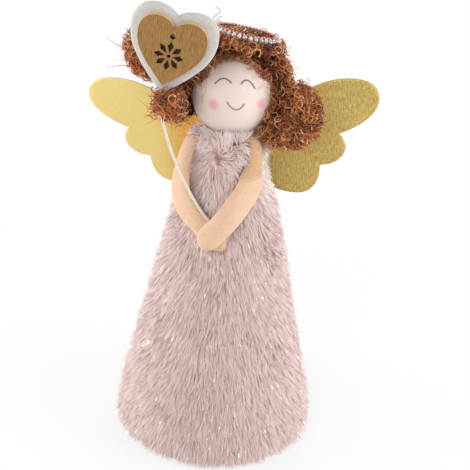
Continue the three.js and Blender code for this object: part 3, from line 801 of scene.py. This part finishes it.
def pile_lines(place, facing, down, flat, length, count, rng):
    """Lines of fibres that stand out of the ground, lean the way the pile lies and bend that way."""
    strands, z = len(place), place[:, 2]
    # Under and beside the arms the pile is pressed short, and at the sides of the hem it is combed in
    pressed = ramp(np.abs(unit(place[:, :2])[:, 0]), *ARM_SIDE) * ramp(z, *ARM_PRESSED)
    combed = (1 - np.exp(-((front_turn(place) / HEM_SIDE) ** 2))) * ramp(z, *HEM_COMBED)
    deep = pile_depth(z) * (1 - flat) + BACK_PILE * flat - CHEST_SWELL * chest_swell(place)
    root = place - facing * deep[:, None]
    flow = pile_flow(place, facing, down)
    rise = (0.8 * (1 - flat) + 0.1 * flat) * (1 - 0.5 * pressed - 0.5 * combed)
    aside = unit(np.cross(facing, flow))
    sway = 0.3 * drift(place, 14, 11) + 0.32 * rng.normal(size=strands)
    lie = 0.64 + 0.22 * drift(place, 19, 12)
    way = facing * rise[:, None] + flow * lie[:, None] + aside * sway[:, None]
    way = unit(way + 0.14 * rng.normal(size=(strands, 3)))
    trimmed = 0.2 * ramp(z, *COLLAR_FUR) + 0.25 * ramp(z, *HEM_FUR) + 0.3 * flat + 0.1 * combed
    long = length * (1 - trimmed) * rng.uniform(0.66, 1.1, strands)
    long *= 1 - 0.3 * near_whorl(place, 60)
    share = np.linspace(0, 1, count)
    bend = 0.25 * (1 - flat) * long
    lines = root[:, None] + along_strand(way, long[:, None] * share)
    return lines + along_strand(flow, bend[:, None] * share**2)


def keep_clear(lines):
    """Keeps fibres over the floor and off the head and arms, and says which of them to keep."""
    lines[..., 2] = np.maximum(lines[..., 2], FLOOR_GAP)
    from_head = lines - HEAD_CENTRE
    far = np.linalg.norm(from_head, axis=-1, keepdims=True)
    skin = HEAD_RADIUS + SKIN_GAP
    lines[:] = np.where(far < skin, HEAD_CENTRE + unit(from_head) * skin, lines)
    tip = lines[:, -1]
    low, high = box_mm("wing_patch")
    covered = (np.abs(tip[:, 0]) < high[0] + PATCH_GAP) & (tip[:, 1] > BACK_SEAT_Y - 3)
    keep = ~(covered & (tip[:, 2] > low[2] - PATCH_GAP) & (tip[:, 2] < high[2]))
    for arm in ("left_arm", "right_arm"):
        mesh = cad_mesh(arm)
        corners = [Vector(point) for point in mesh_points(mesh)]
        tree = BVHTree.FromPolygons(corners, [list(face.vertices) for face in mesh.polygons])
        low, high = box_mm(arm)
        near = np.flatnonzero(((lines.max(1) > low) & (lines.min(1) < high)).all(1) & keep)
        for i in near:
            for k, spot in enumerate(lines[i]):
                hit, normal, _, far = tree.find_nearest(Vector(spot))
                if far > ARM_GAP and (Vector(spot) - hit).dot(normal) > 0:
                    continue
                if k == 0 or arm == "left_arm" or lines[i, 0, 2] < SHOULDER_FUR_Z:
                    keep[i] = False
                    break
                lines[i, k] = hit + normal * SKIN_GAP
    return keep


def gathered(lines, rng):
    """Draws the tips of neighbouring fibres together into tufts, which are looser on the chest."""
    leaders = rng.choice(len(lines), TUFTS, replace=False)
    tree = KDTree(TUFTS)
    for i, leader in enumerate(leaders):
        tree.insert(lines[leader, 0], i)
    tree.balance()
    leader = leaders[np.array([tree.find(root)[1] for root in lines[:, 0]])]
    goal = lines[leader, -1] + 0.4 * (lines[:, 0] - lines[leader, 0])
    share = np.linspace(0, 1, lines.shape[1])
    loose = ramp(lines[:, 0, 2], *LOOSE_CHEST) * (lines[:, 0, 1] < 0)
    pull = TUFT_HOLD * (1 - 0.65 * loose) * rng.uniform(0.4, 1, len(lines))
    return lines + along_strand(goal - lines[:, -1], pull[:, None] * share**2)


def shoulder_tufts(count, rng):
    """Longer fibres of the collar that spread over the tops of the arms, most of them on the right."""
    side = np.where(rng.random(count) < 0.92, -1, 1)
    turn = np.where(side < 0, rng.uniform(-0.15, 1.1, count), rng.uniform(0.6, 1.2, count))
    outward = np.stack([side * np.cos(turn), -np.sin(turn), np.zeros(count)], -1)
    place = outward * rng.uniform(COLLAR_RADIUS - 1, COLLAR_RADIUS + 3.5, (count, 1))
    place[:, 2] = rng.uniform(COLLAR_Z - 5, COLLAR_Z - 1.5, count)
    long = rng.uniform(4.5, 8.5, (count, 1, 1))
    share = np.linspace(0, 1, len(FIBRE_WIDTHS))[None, :, None]
    lift = UPRIGHT * rng.uniform(0.2, 1.7, (count, 1))
    way = unit(outward + 0.4 * rng.normal(size=(count, 3)) + lift)
    lines = place[:, None] + way[:, None] * long * share - 0.45 * UPRIGHT * long * share**2
    return place, unit(outward + 0.8 * UPRIGHT), lines


def add_fur():
    """The pile in bands from hem to bodice."""
    rng = np.random.default_rng(7)
    place, facing, down, flat = pile_roots(FIBRES, rng)
    lines = pile_lines(place, facing, down, flat, PILE_LENGTH, len(FIBRE_WIDTHS), rng)
    lines = gathered(lines, rng)
    tufts = shoulder_tufts(SHOULDER_FIBRES, rng)
    place, facing, lines = (np.concatenate(pair) for pair in zip((place, facing, lines), tufts))
    keep = keep_clear(lines)
    place, facing, lines = place[keep], facing[keep], lines[keep]
    z = place[:, 2]
    shades = 0.54 + 0.15 * drift(place, 5, 21) + 0.2 * rng.normal(size=len(place))
    # Painted light: the fibres are paler on the chest between the arms and on the collar under the chin,
    # against the shade there, and darker at the whorl as painted shade of its depth
    shades += 0.2 * ramp(z, *PAINTED_LIGHT_CHEST) * (place[:, 1] < 0)
    shades += 0.3 * ramp(z, *COLLAR_FUR) - 0.3 * near_whorl(place, 30)
    shades = np.clip(shades, *MAP_SPAN)
    along = unit(lines[:, -1] - lines[:, 0])
    twist = rng.uniform(-1, 1, (len(lines), 1))
    width_ways = unit(unit(np.cross(along, facing)) + facing * twist)
    widths = np.array(FIBRE_WIDTHS) * rng.uniform(0.7, 1.25, (len(lines), 1))
    # A fibre takes the light mostly as the dress does there, and partly as its own turn
    flat_way = unit(np.cross(width_ways, along))
    flat_way *= np.sign((flat_way * facing).sum(1, keepdims=True))
    normals = unit(facing * 0.75 + flat_way * 0.35)
    low = -1
    for name, high in FUR_BANDS.items():
        held = (z >= low) & (z < high)
        strands = [values[held] for values in (lines, width_ways, widths, shades)]
        piece = add_ribbons(name, *strands, fur_pile, "fur")
        corners = np.repeat(normals[held], 2 * len(FIBRE_WIDTHS), 0)
        piece.data.normals_split_custom_set_from_vertices(corners)
        low = high


def add_tinsel():
    """Film fibres in the pile, of which only the tips show."""
    rng = np.random.default_rng(8)
    place, facing, down, flat = pile_roots(FILM_FIBRES, rng)
    lines = pile_lines(place, facing, down, flat, PILE_LENGTH * 1.1, 8, rng)
    keep = keep_clear(lines) & (flat < 0.3)
    lines, facing = lines[keep, 6:], facing[keep]
    width_ways = unit(np.cross(lines[:, -1] - lines[:, 0], facing) + rng.normal(size=(len(lines), 3)) * 2)
    add_ribbons("fur_tinsel", lines, width_ways, FILM_WIDTH, rng.random(len(lines)), tinsel, "fur")


def add_fur_ground():
    """Knitted ground of the fur, cut as one piece and closed by a seam, under the pile."""
    profile = fur_profile()[1:-1]
    step = np.gradient(profile, axis=0)
    outward = unit(np.stack([step[:, 1], -step[:, 0]], -1))
    inner = profile - outward * (pile_depth(profile[:, 1]) - GROUND_OVER_ROOTS)[:, None]
    inner[:, 1] = np.maximum(inner[:, 1], 0.5)
    inner = np.concatenate([inner[:9], np.linspace(inner[8], inner[9], 30)[1:-1], inner[9:]])
    mesh = turned("fur_ground", inner)
    points = mesh_points(mesh)
    flat = ramp(points[:, 2], *BACK_FLAT)
    inset = (PILE_DEPTH - GROUND_OVER_ROOTS) * (1 - flat) + GROUND_OVER_ROOTS * flat
    limit = back_limit(points[:, 2]) - inset
    pressed = (points[:, 1] > limit) & (points[:, 2] > BACK_SLOPE_Z)
    points[pressed, 1] = limit[pressed]
    points += unit(points * LEVEL) * CHEST_SWELL * chest_swell(points)[:, None]
    set_points(mesh, points)
    piece = add_object("fur_ground", mesh, [knit_ground], "doll", "fur_dress")


def add_hem_facing():
    low, high = box_mm("hem_facing")
    heights = np.linspace(low[2], high[2], 7)
    radii = high[0] - FACING_THICKNESS - (heights - low[2]) * CONE_SLOPE
    mesh = turned("facing_strip", np.stack([radii, heights], -1))
    points = mesh_points(mesh)
    points[:, :2] *= 1 + FACING_WAVER * drift(points, 9, 4)[:, None]
    set_points(mesh, points)
    piece = add_object("facing_strip", mesh, [knit_ground], "doll", "hem_facing")


# Head and hair


def add_head():
    """Jersey drawn over the ball, in folds where it is gathered at the neck."""
    turn = np.linspace(0.004, math.pi - math.asin(GATHER_RADIUS / HEAD_RADIUS), 60)
    ball = np.stack([HEAD_RADIUS * np.sin(turn), HEAD_CENTRE[2] + HEAD_RADIUS * np.cos(turn)], -1)
    neck = np.linspace(ball[-1], [GATHER_RADIUS, NECK_END_Z], 8)[1:]
    mesh = turned("head_skin", np.concatenate([ball, neck])[::-1])
    points = mesh_points(mesh)
    below = ramp(HEAD_CENTRE[2] - points[:, 2], 15, 21)
    folds = np.sin(np.arctan2(points[:, 1], points[:, 0]) * NECK_FOLDS)
    points[:, :2] *= (1 + 0.05 * below * folds)[:, None]
    set_points(mesh, points)
    with reshaping(mesh) as shape:
        top = HEAD_CENTRE[2] * MM
        rim = [edge for edge in shape.edges if edge.is_boundary and edge.verts[0].co.z > top]
        bmesh.ops.contextual_create(shape, geom=rim)
    piece = add_object("head_skin", mesh, [face_jersey()], "doll", "head_cover")


def add_stitched_line(name, pixels, radius, material):
    """A row of back stitches on the face through three places."""
    share = np.linspace(0, 1, 49)
    ends = np.stack([(1 - share) * (1 - 2 * share), 4 * share * (1 - share), share * (2 * share - 1)], -1)
    spots = np.array([on_head(pixel) for pixel in ends @ np.array(pixels)])
    stitch = np.abs(np.sin(share * math.pi * 8))
    spots = spots + unit(spots - HEAD_CENTRE) * (0.05 + 0.1 * stitch)[:, None]
    radii = radius * (0.72 + 0.28 * stitch)
    radii[[0, -1]] = 0.03
    add_tubes(name, spots[None], radii, 8, material)


def curl_lines(place, facing, bend_radius, rng):
    """Loops of boucle yarn that run over the hair, each a helix along a curve that follows the surface."""
    strands = len(place)
    start = place - facing * rng.uniform(1, 3.8, (strands, 1))
    way = unit(np.cross(facing, rng.normal(size=(strands, 3))))
    way = square_to(unit(way - 0.5 * UPRIGHT), facing)
    long = rng.uniform(6, 14, strands)
    share = np.linspace(0, 1, 28)
    turn = long[:, None] * (share - 0.5) / bend_radius
    lines = start[:, None] + along_strand(way, bend_radius * np.sin(turn))
    lines = lines + along_strand(facing, bend_radius * (np.cos(turn) - 1))
    loops = rng.uniform(1.4, 3.4, strands)
    phase = rng.uniform(0, FULL_TURN, strands)[:, None]
    spin = phase + FULL_TURN * loops[:, None] * share
    wide = rng.uniform(0.8, 2.3, strands)[:, None] * (0.75 + 0.25 * np.sin(5 * share + phase))
    lines = lines + along_strand(facing, wide * np.sin(spin))
    return lines + along_strand(np.cross(way, facing), wide * np.cos(spin))


def frizz_lines(place, facing, reach, rng):
    """Fine fibres that stand off the yarn, each bent its own way."""
    strands = len(place)
    share = np.linspace(0, 1, 6)
    way = unit(0.5 * facing + 0.8 * rng.normal(size=(strands, 3)))
    bend = rng.normal(size=(strands, 3))
    long = rng.uniform(0.4, 1, strands)[:, None] * reach
    start = place - facing * rng.uniform(0.6, 2.4, (strands, 1))
    return start[:, None] + along_strand(way, long * share) + along_strand(bend, 0.3 * long * share**2)


def off_head(lines):
    """Moves hair out of the head."""
    far = np.linalg.norm(lines - HEAD_CENTRE, axis=-1, keepdims=True)
    return lines + unit(lines - HEAD_CENTRE) * np.maximum(HEAD_RADIUS + 0.4 - far, 0)


def outside_head(places):
    """Which places on the hair lie on its open side."""
    return np.linalg.norm(places - HEAD_CENTRE, axis=1) > HEAD_RADIUS + 2


def in_face(lines):
    """Which places lie in front of the face as the photograph shows it."""
    ray = lines - EYE
    depth = ray @ AHEAD
    across = PHOTO_SIDE / 2 + FOCAL_LENGTH * (ray @ RIGHT) / depth
    down = PHOTO_SIDE / 2 - FOCAL_LENGTH * (ray @ UP) / depth
    inside = np.zeros(across.shape, bool)
    edge = np.array(HAIRLINE + CHIN_LINE)
    for (x0, y0), (x1, y1) in zip(edge, np.roll(edge, -1, 0)):
        crosses = (y0 > down) != (y1 > down)
        inside ^= crosses & (across < x0 + (x1 - x0) * (down - y0) / (y1 - y0 + 1e-9))
    return inside & (depth < (HEAD_CENTRE - EYE) @ AHEAD)


def add_curls(name, lines, thick, place, rng, body="doll", node=None):
    """Yarn along the lines, in shades that drift over the hair."""
    radii = np.full(lines.shape[:2], thick) * rng.uniform(0.6, 1.15, (len(lines), 1))
    radii[:, [0, -1]] = 0.06
    shades = np.clip(0.54 + 0.3 * drift(place, 7, 60) + 0.3 * rng.normal(size=len(lines)), *MAP_SPAN)
    return add_tubes(name, off_head(lines), radii, 3, boucle_yarn, body, shades, node)


def band_ring():
    """Middle and radius of the bead band."""
    low, high = box_mm("headband")
    return (low + high) / 2, (high[1] - low[1]) / 2 - BAND_BEAD_RADIUS


def in_band(places):
    """Which places on the crown lie inside the bead band."""
    middle, radius = band_ring()
    away = np.linalg.norm((places - middle)[:, :2], axis=1)
    return (away < radius - 0.5) & (places[:, 2] > middle[2] - 6)


def by_band(turns, reach, rise):
    """Places round the bead band, so far from its middle and so far over the slope that it lies on."""
    place = ring_ways(turns) * np.reshape(reach, (-1, 1))
    place[:, 2] = rise - place[:, 0] * math.tan(BAND_ROLL) - place[:, 1] * math.tan(BAND_TIP)
    return place + band_ring()[0]


def add_hair():
    """Loops over each bunch, the matted ground that they come out of, and frizz."""
    fine, widths = [], []
    for seed, (node, (name, count, bend_radius, sunk)) in enumerate(HAIR.items()):
        rng = np.random.default_rng(40 + seed)
        solid = cad_mesh(node)
        place, facing = scattered(solid, count, rng)
        shown = outside_head(place)
        place, facing = place[shown], facing[shown]
        lines = curl_lines(place, facing, bend_radius, rng)
        # Inside the band the hair is pressed down
        lines[..., 2] -= BAND_PRESS * in_band(place)[:, None]
        clear = ~in_face(lines).any(1)
        add_curls(name, lines[clear], YARN_RADIUS, place[clear], rng, node=node)
        ground = softened(node, voxel=1.2, rounds=14)
        points = mesh_points(ground)
        swollen(ground, -sunk - 0.7 * drift(points, 4, 70) - BAND_PRESS * in_band(points))
        hidden = np.flatnonzero(in_face(mesh_points(ground)))
        with reshaping(ground) as shape:
            shape.verts.ensure_lookup_table()
            bmesh.ops.delete(shape, geom=[shape.verts[i] for i in hidden])
        # The ground's near-black colour is painted shade among the loops
        add_object(name + "_ground", ground, [painted_shade_yarn], "doll")
        place, facing = scattered(solid, count * 2, rng)
        short = np.flatnonzero(outside_head(place) & ~in_band(place))
        fine.append(frizz_lines(place[short], facing[short], FRIZZ[0], rng))
        loose = rng.choice(short, LONG_FRIZZ_COUNT, replace=False)
        fine.append(frizz_lines(place[loose] + facing[loose], facing[loose], LONG_FRIZZ[0], rng))
        widths += [FRIZZ[1]] * len(short) + [LONG_FRIZZ[1]] * len(loose)
    lines = off_head(np.concatenate(fine))
    clear = ~in_face(lines).any(1)
    lines, widths = lines[clear], np.array(widths)[clear]
    rng = np.random.default_rng(50)
    across = unit(np.cross(lines[:, -1] - lines[:, 0], rng.normal(size=(len(lines), 3))))
    widths = widths[:, None] * np.linspace(1, 0.35, lines.shape[1])
    shades = rng.uniform(0.3, 1, len(lines))
    add_ribbons("yarn_frizz", lines, across, widths, shades, boucle_yarn, "yarn")


def add_hairline():
    """Loops along the edge of the face, a few fine hairs over it, and loops that hold the bead band."""
    rng = np.random.default_rng(51)
    pixels = np.array(HAIRLINE)
    spot = rng.uniform(1.3, len(pixels) - 1.001, HAIRLINE_CURLS)
    before = spot.astype(int)
    share = (spot - before)[:, None]
    pixels = pixels[before] * (1 - share) + pixels[before + 1] * share
    pixels = pixels + rng.normal(size=(HAIRLINE_CURLS, 2)) * 1.1
    place = np.array([on_head(pixel) for pixel in pixels])
    facing = unit(place - HEAD_CENTRE)
    place = place + facing * rng.uniform(2.2, 4.6, (HAIRLINE_CURLS, 1))
    lines = curl_lines(place, facing, HEAD_RADIUS + 3, rng)
    edge = in_face(lines).mean(1) < 0.3
    add_curls("hairline_curls", lines[edge], EDGE_YARN_RADIUS, place[edge], rng)
    share = np.linspace(0, 1, 12)[:, None]
    bow = np.sin(share * math.pi)
    lines = []
    for start, end in LOOSE_HAIRS:
        path = (1 - share) * np.array(start) + share * np.array(end) + bow * rng.normal(size=2) * 1.5
        spots = np.array([on_head(pixel) for pixel in path])
        lines.append(spots + unit(spots - HEAD_CENTRE) * (0.3 + 0.8 * bow))
    shades = rng.uniform(0.3, 0.7, len(lines))
    add_tubes("loose_hairs", np.array(lines), LOOSE_HAIR_RADIUS, 3, boucle_yarn, shades=shades)
    # Loops beside the band, over its left end, and under it all round
    _, radius = band_ring()
    for name, turns, reach, rise in (
        ("band_curls", rng.uniform(0, FULL_TURN, 90), rng.choice([-3.4, 3.2], 90), 0.9),
        ("band_end_curls", rng.normal(-0.2, 0.4, 70), rng.uniform(-1.5, 2, 70), 0.6),
        ("band_seat_curls", rng.uniform(0, FULL_TURN, 240), rng.uniform(-3, 2, 240), -0.4),
    ):
        place = by_band(turns, radius + reach + rng.normal(size=len(turns)) * 0.5, rise)
        lines = curl_lines(place, unit(place - HEAD_CENTRE), BAND_BEND, rng)
        add_curls(name, lines, BAND_YARN_RADIUS, place, rng)


def lock_lines(root, end, share, spread, rng):
    """Places of a lock from its root to its end, and the loops there."""
    place = root + (end - root) * share + rng.normal(size=(len(share), 3)) * spread
    facing = unit(rng.normal(size=(len(share), 3)) * 0.8 - AHEAD)
    return place, curl_lines(place + facing * 2, facing, LOCK_BEND, rng)


def add_locks():
    """Loops over the stem, held between head and wand, and loops by the left shoulder."""
    rng = np.random.default_rng(58)
    low, high = box_mm("hair_curl_right")
    root = np.array([(low[0] + high[0]) / 2, low[1] + 4, (low[2] + high[2]) / 2])
    over_stem = seen_at(STEM_LOCK, box_mm("wand_stem")[0][1] - 5)
    share = np.minimum(rng.random((STEM_LOOPS, 1)) * 1.35, 1)
    place, lines = lock_lines(root, over_stem, share, STEM_SPREAD, rng)
    piece = add_curls("stem_lock_curls", lines, YARN_RADIUS, place, rng, body=None)
    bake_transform(piece)
    low, high = box_mm("hair_bunch_left")
    root = np.array([low[0] + 4, low[1] + 8, (low[2] + high[2]) / 2])
    share = rng.random((SHOULDER_LOOPS, 1)) ** 0.6
    by_shoulder = seen_at(SHOULDER_LOCK, low[1] + 6)
    lines = lock_lines(root, by_shoulder, share, SHOULDER_SPREAD, rng)[1]
    lines = lines[~in_face(lines).any(1)]
    add_curls("shoulder_lock_curls", lines, YARN_RADIUS, lines.mean(1), rng)


def add_beads(name, strand, material, node=None):
    """A strand of beads round the crown."""
    count, size, inset = strand
    turns = FULL_TURN * (np.arange(count) + 0.25) / count
    mesh = bpy.data.meshes.new(name)
    with reshaping(mesh) as shape:
        for spot in by_band(turns, band_ring()[1] - inset, BAND_LIFT + 0.6 * inset):
            place = Matrix.Translation(Vector(spot * MM))
            bmesh.ops.create_icosphere(shape, subdivisions=2, radius=size * MM, matrix=place)
    add_object(name, mesh, [material], "doll", node)


def add_headband():
    """Two strands of beads, pearly silver ones outside and copper seed beads inside, and thread ends."""
    add_beads("pearl_beads", PEARLS, pearl, "headband")
    add_beads("seed_beads", SEED_BEADS, copper_lustre)
    middle, radius = band_ring()
    start = middle + np.array([1.6 - radius, -4, 1.2])
    share = np.linspace(0, 1, 40)
    ends = []
    for lean, rise, loops in THREAD_ENDS:
        swing = FULL_TURN * loops * share
        across = lean * share + THREAD_CURL * np.sin(swing)
        back = THREAD_CURL * (np.cos(swing) - 1)
        ends.append(start + np.stack([across, back, rise * share], -1))
    add_tubes("band_thread_ends", np.array(ends), THREAD_END_RADIUS, 6, band_thread)


# Arms, wings and wand


def add_stitches(name, spots, ways, outward, stitch, body):
    """Bowed stitches of white thread, one at each spot, between two ends along its way."""
    ends, heights, count, radius = stitch
    bow = np.sin(np.linspace(0, math.pi, count))[:, None]
    raised = outward * (heights[0] + heights[1] * bow)
    lines = spots[:, None] + ways[:, None] * np.linspace(*ends, count)[:, None] + raised
    add_tubes(name, lines, radius, 6, white_thread, body)


def add_arms():
    """Stuffed felt arms, the upper left one folded back behind its forearm at the elbow and given a deeper
    tan felt as painted shade.
    """
    for arm in ("left_arm", "right_arm"):
        mesh = swollen(softened(arm, voxel=0.5, rounds=6), 0.25)
        points = roughened(mesh_points(mesh), 0.1, 5, 30)
        folded = np.zeros(len(points), bool)
        if arm == "left_arm":
            above = points[:, 2] - ELBOW_FOLD_Z + ELBOW_FOLD_SLOPE * (points[:, 0] - 10)
            folded = above > 0.2
            points -= unit(points * LEVEL) * ELBOW_SETBACK * ramp(above, -0.4, 0.4)[:, None]
        set_points(mesh, points)
        piece = add_object(arm + "_felt", mesh, [peach_felt, painted_shade_felt], "doll", arm)
        # Faces above the fold take the second, darker felt: painted shade
        upper = [int(folded[list(face.vertices)].all()) for face in mesh.polygons]
        mesh.polygons.foreach_set("material_index", upper)


def front_outline(node):
    """Outline of a flat node's front face in order, in millimetres, and the way that face looks."""
    mesh = cad_mesh(node)
    faces = np.array([face.normal for face in mesh.polygons])
    sizes = np.array([face.area for face in mesh.polygons])
    front = faces[np.argmax(sizes * (faces[:, 1] < 0))]
    edges = {}
    for face in mesh.polygons:
        if face.normal.dot(Vector(front)) > 0.99:
            corners = list(face.vertices)
            edges |= dict.fromkeys(zip(corners, corners[1:] + corners[:1]))
    after = {first: last for first, last in edges if (last, first) not in edges}
    order = [next(iter(after))]
    while after[order[-1]] != order[0]:
        order.append(after[order[-1]])
    return mesh_points(mesh)[order], front


def add_wings():
    """Felt wings faced with foil on both sides, slightly waved, and sewn over the root edge."""
    foils = {
        "left_wing": gold_foil("brushed_gold_foil", "#8d7433", "#bfa359", "#dfc880", 0.6, 14),
        # The right wing's foil is painted paler and more even than the left's: painted reflection of the
        # light it faces
        "right_wing": gold_foil("reflection_painted_gold_foil", "#dcc375", "#e1c97f", "#e6d087", 0.08, 40),
    }
    for joint in frame["joints"]:
        wing = joint["child"]
        if wing not in foils:
            continue
        outline, front = front_outline(wing)
        root = np.array(joint["pos_m"]) / MM
        upward = np.array(joint["axis"]) * np.sign(joint["axis"][2])
        outward = unit(np.cross(front, upward))
        outward = outward * np.sign(((outline - root) @ outward).mean())
        flat = np.stack([(outline - root) @ outward, (outline - root) @ upward], -1)
        grid = WING_MIDDLE + (flat - WING_MIDDLE) * WING_RINGS[:, None, None]
        place = root + grid[..., :1] * outward + grid[..., 1:] * upward
        creased = np.exp(-((grid[..., 0] / WING_CREASES) ** 2)) * np.sin(grid[..., 0] * 1.7)
        wave = (0.5 * drift(place, 26, 80) + 0.35 * creased) * np.clip((1 - WING_RINGS[:, None]) * 6, 0, 1)
        depth = WING_EDGE_DEPTH[:, None] * WING_THICKNESS / 2
        points = np.concatenate([place + front * (wave + side * depth)[..., None] for side in (1, -1)])
        turn = np.arange(grid.shape[1])
        beside = np.roll(turn, -1)
        rows = strip_quads(1, len(grid), len(turn), True)
        behind = len(grid) * len(turn)
        rim = np.stack([turn, turn + behind, beside + behind, beside], -1)
        quads = np.concatenate([rows, (rows + behind)[:, ::-1], rim])
        flat_map = np.concatenate([grid, grid]).reshape(-1, 2) * MM
        mesh = quad_mesh(wing + "_foil", points.reshape(-1, 3), quads, flat_map, "foil")
        add_object(wing + "_foil", mesh, [foils[wing], felt_edge], wing, wing)
        mesh.polygons.foreach_set("material_index", (np.arange(len(quads)) >= 2 * len(rows)).astype(np.int32))
        with reshaping(mesh) as shape:
            holes = [edge for edge in shape.edges if edge.is_boundary]
            bmesh.ops.holes_fill(shape, edges=holes, sides=200)
            bmesh.ops.recalc_face_normals(shape, faces=shape.faces)
        spots = root + upward * WING_STITCHES[:, None] + outward * 1.2
        ways = np.tile(outward, (len(spots), 1))
        add_stitches(wing + "_stitches", spots, ways, -front, WING_STITCH, wing)


def add_patch():
    """Felt patch that the wings are sewn to, with stitches near its edge."""
    felt = softened("wing_patch", voxel=0.4, rounds=4)
    add_object("patch_felt", felt, [white_felt], "doll", "wing_patch")
    low, high = box_mm("wing_patch")
    half = (high - low) / 2 - PATCH_SEAM
    turns = np.arange(PATCH_STITCHES) * FULL_TURN / PATCH_STITCHES
    across, up = np.cos(turns), np.sin(turns)
    level = np.zeros(len(turns))
    reach = 1 / np.maximum(np.abs(across) / half[0], np.abs(up) / half[2])
    spots = (low + high) / 2 + reach[:, None] * np.stack([across, level, up], -1)
    ways = np.stack([-up, level, across], -1)
    outward = np.array([0, 1.0, 0])
    add_stitches("patch_stitches", spots, ways, outward, PATCH_STITCH, "doll")


def wall_groups(shape, front):
    """The faces of a flat solid's walls, in groups that join: the outer edge, and each cut-out."""
    walls = {face for face in shape.faces if abs(face.normal.dot(front)) < 0.5}
    groups = []
    while walls:
        group, reached = [], [walls.pop()]
        while reached:
            face = reached.pop()
            group.append(face)
            beside = {other for edge in face.edges for other in edge.link_faces} & walls
            walls -= beside
            reached.extend(beside)
        groups.append(group)
    return groups


def add_wand():
    """Paper-covered stem, felt heart, and plywood heart with burnt cut-outs."""
    stem = modified(cad_mesh("wand_stem"), ("SUBSURF", {"levels": 2, "render_levels": 2}))
    add_object("stem_wire", stem, [paper_wire], "wand", "wand_stem")
    heart = swollen(softened("felt_heart", voxel=0.5, rounds=5), 0.2)
    set_points(heart, roughened(mesh_points(heart), 0.15, 3, 33))
    piece = add_object("heart_felt", heart, [heart_felt], "wand", "felt_heart")
    wood = cad_mesh("wood_heart")
    front = front_outline("wood_heart")[1]
    face_top = (mesh_points(wood) @ front).max()
    with reshaping(wood) as shape:
        groups = wall_groups(shape, Vector(front))
        outer = max(groups, key=lambda group: sum(face.calc_area() for face in group))
        for group in groups:
            for face in group:
                face.material_index = 1 if group is outer else 2
        for face in shape.faces:
            depth = face_top - np.array(face.calc_center_median()) @ front / MM
            if face.normal.dot(Vector(front)) > 0.5 and depth > 0.5:
                face.material_index = 2
    for material in (stained_birch, ply_edge, burnt_birch):
        wood.materials.append(material)
    bevel = {"width": 0.22 * MM, "segments": 2, "limit_method": "ANGLE", "angle_limit": 0.7}
    wood = modified(wood, ("BEVEL", bevel))
    add_object("heart_ply", wood, [], "wand", "wood_heart")
    wood.polygons.foreach_set("use_smooth", np.zeros(len(wood.polygons), bool))


def dress_hidden_nodes():
    """Finishes of the solids inside, which show only from below."""
    for node, material in (
        ("cone_core", grey_card),
        ("neck_peg", raw_dowel),
        ("head_core", bead_foam),
        ("neck_tie", white_thread),
    ):
        slots = frame["nodes"][node].data.materials
        slots.clear()
        slots.append(material)
    mesh = softened("bodice_wadding", voxel=1.2, rounds=3)
    points = mesh_points(mesh)
    set_points(mesh, points - unit(points * LEVEL) * (0.3 + 0.3 * drift(points, 6, 90))[:, None])
    piece = add_object("wadding_fill", mesh, [wadding], "doll", "bodice_wadding")


# Studio


def white_floor():
    """White paper sweep, which keeps the soft shadow round the hem and runs out to plain white."""
    material, tree = new_material("white_floor")
    seen = add_node(tree, "LightPath")["Is Camera Ray"]
    place = add_node(tree, "TexCoord")["Object"]
    away = add_node(tree, "VectorMath", {0: place}, operation="LENGTH")["Value"]
    white = faded(tree, away, FLOOR_FADE, FLOOR_WHITE_NEAR, 1)
    share = add_node(tree, "Math", {0: seen, 1: white}, operation="MULTIPLY")[0]
    paper = add_node(tree, "BsdfDiffuse", {"Color": to_linear("#f4f4f4")})[0]
    glow = add_node(tree, "Emission", {"Strength": 1})[0]
    mixed = add_node(tree, "MixShader", {0: share, 1: paper, 2: glow})[0]
    add_node(tree, "OutputMaterial", {"Surface": mixed})
    return material


def add_studio():
    """The floor, a white surround that gives an even light, and the lamps."""
    corners = np.array([[-1, -1, 0], [1, -1, 0], [1, 1, 0], [-1, 1, 0]]) * FLOOR_REACH
    floor_mesh = quad_mesh("floor", corners, np.array([[0, 1, 2, 3]]))
    floor_mesh.materials.append(white_floor())
    floor = bpy.data.objects.new("floor", floor_mesh)
    SCENE.collection.objects.link(floor)
    world = bpy.data.worlds.new("studio")
    SCENE.world = world
    world.use_nodes = True
    tree = world.node_tree
    tree.nodes.clear()
    seen = add_node(tree, "LightPath")
    shown = seen["Is Camera Ray"]
    for ray in ("Is Glossy Ray", "Is Transmission Ray"):
        shown = add_node(tree, "Math", {0: shown, 1: seen[ray]}, operation="MAXIMUM")[0]
    ambient, backdrop = (
        add_node(tree, "Background", {"Color": to_linear("#ffffff"), "Strength": strength})[0]
        for strength in (AMBIENT_LIGHT, 1)
    )
    mixed = add_node(tree, "MixShader", {0: shown, 1: ambient, 2: backdrop})[0]
    add_node(tree, "OutputWorld", {"Surface": mixed})
    for name, (place, size, power) in LAMPS.items():
        data = bpy.data.lights.new(name, "AREA")
        data.shape = "DISK"
        data.size = size * MM
        data.energy = power
        lamp = bpy.data.objects.new(name, data)
        lamp.location = Vector(place) * MM
        lamp.rotation_euler = (Vector(LAMP_AIM) - Vector(place)).to_track_quat("-Z", "Y").to_euler()
        SCENE.collection.objects.link(lamp)
    SCENE.view_settings.view_transform = "Standard"


add_camera()
add_studio()
add_fur_ground()
add_fur()
add_tinsel()
add_hem_facing()
add_head()
add_stitched_line("left_eye_stitches", LEFT_EYE, EYE_THREAD, dark_thread)
add_stitched_line("right_eye_stitches", RIGHT_EYE, EYE_THREAD, dark_thread)
add_stitched_line("mouth_stitches", MOUTH, MOUTH_THREAD, rose_thread)
add_hair()
add_hairline()
add_headband()
add_arms()
add_wings()
add_patch()
add_wand()
add_locks()
dress_hidden_nodes()
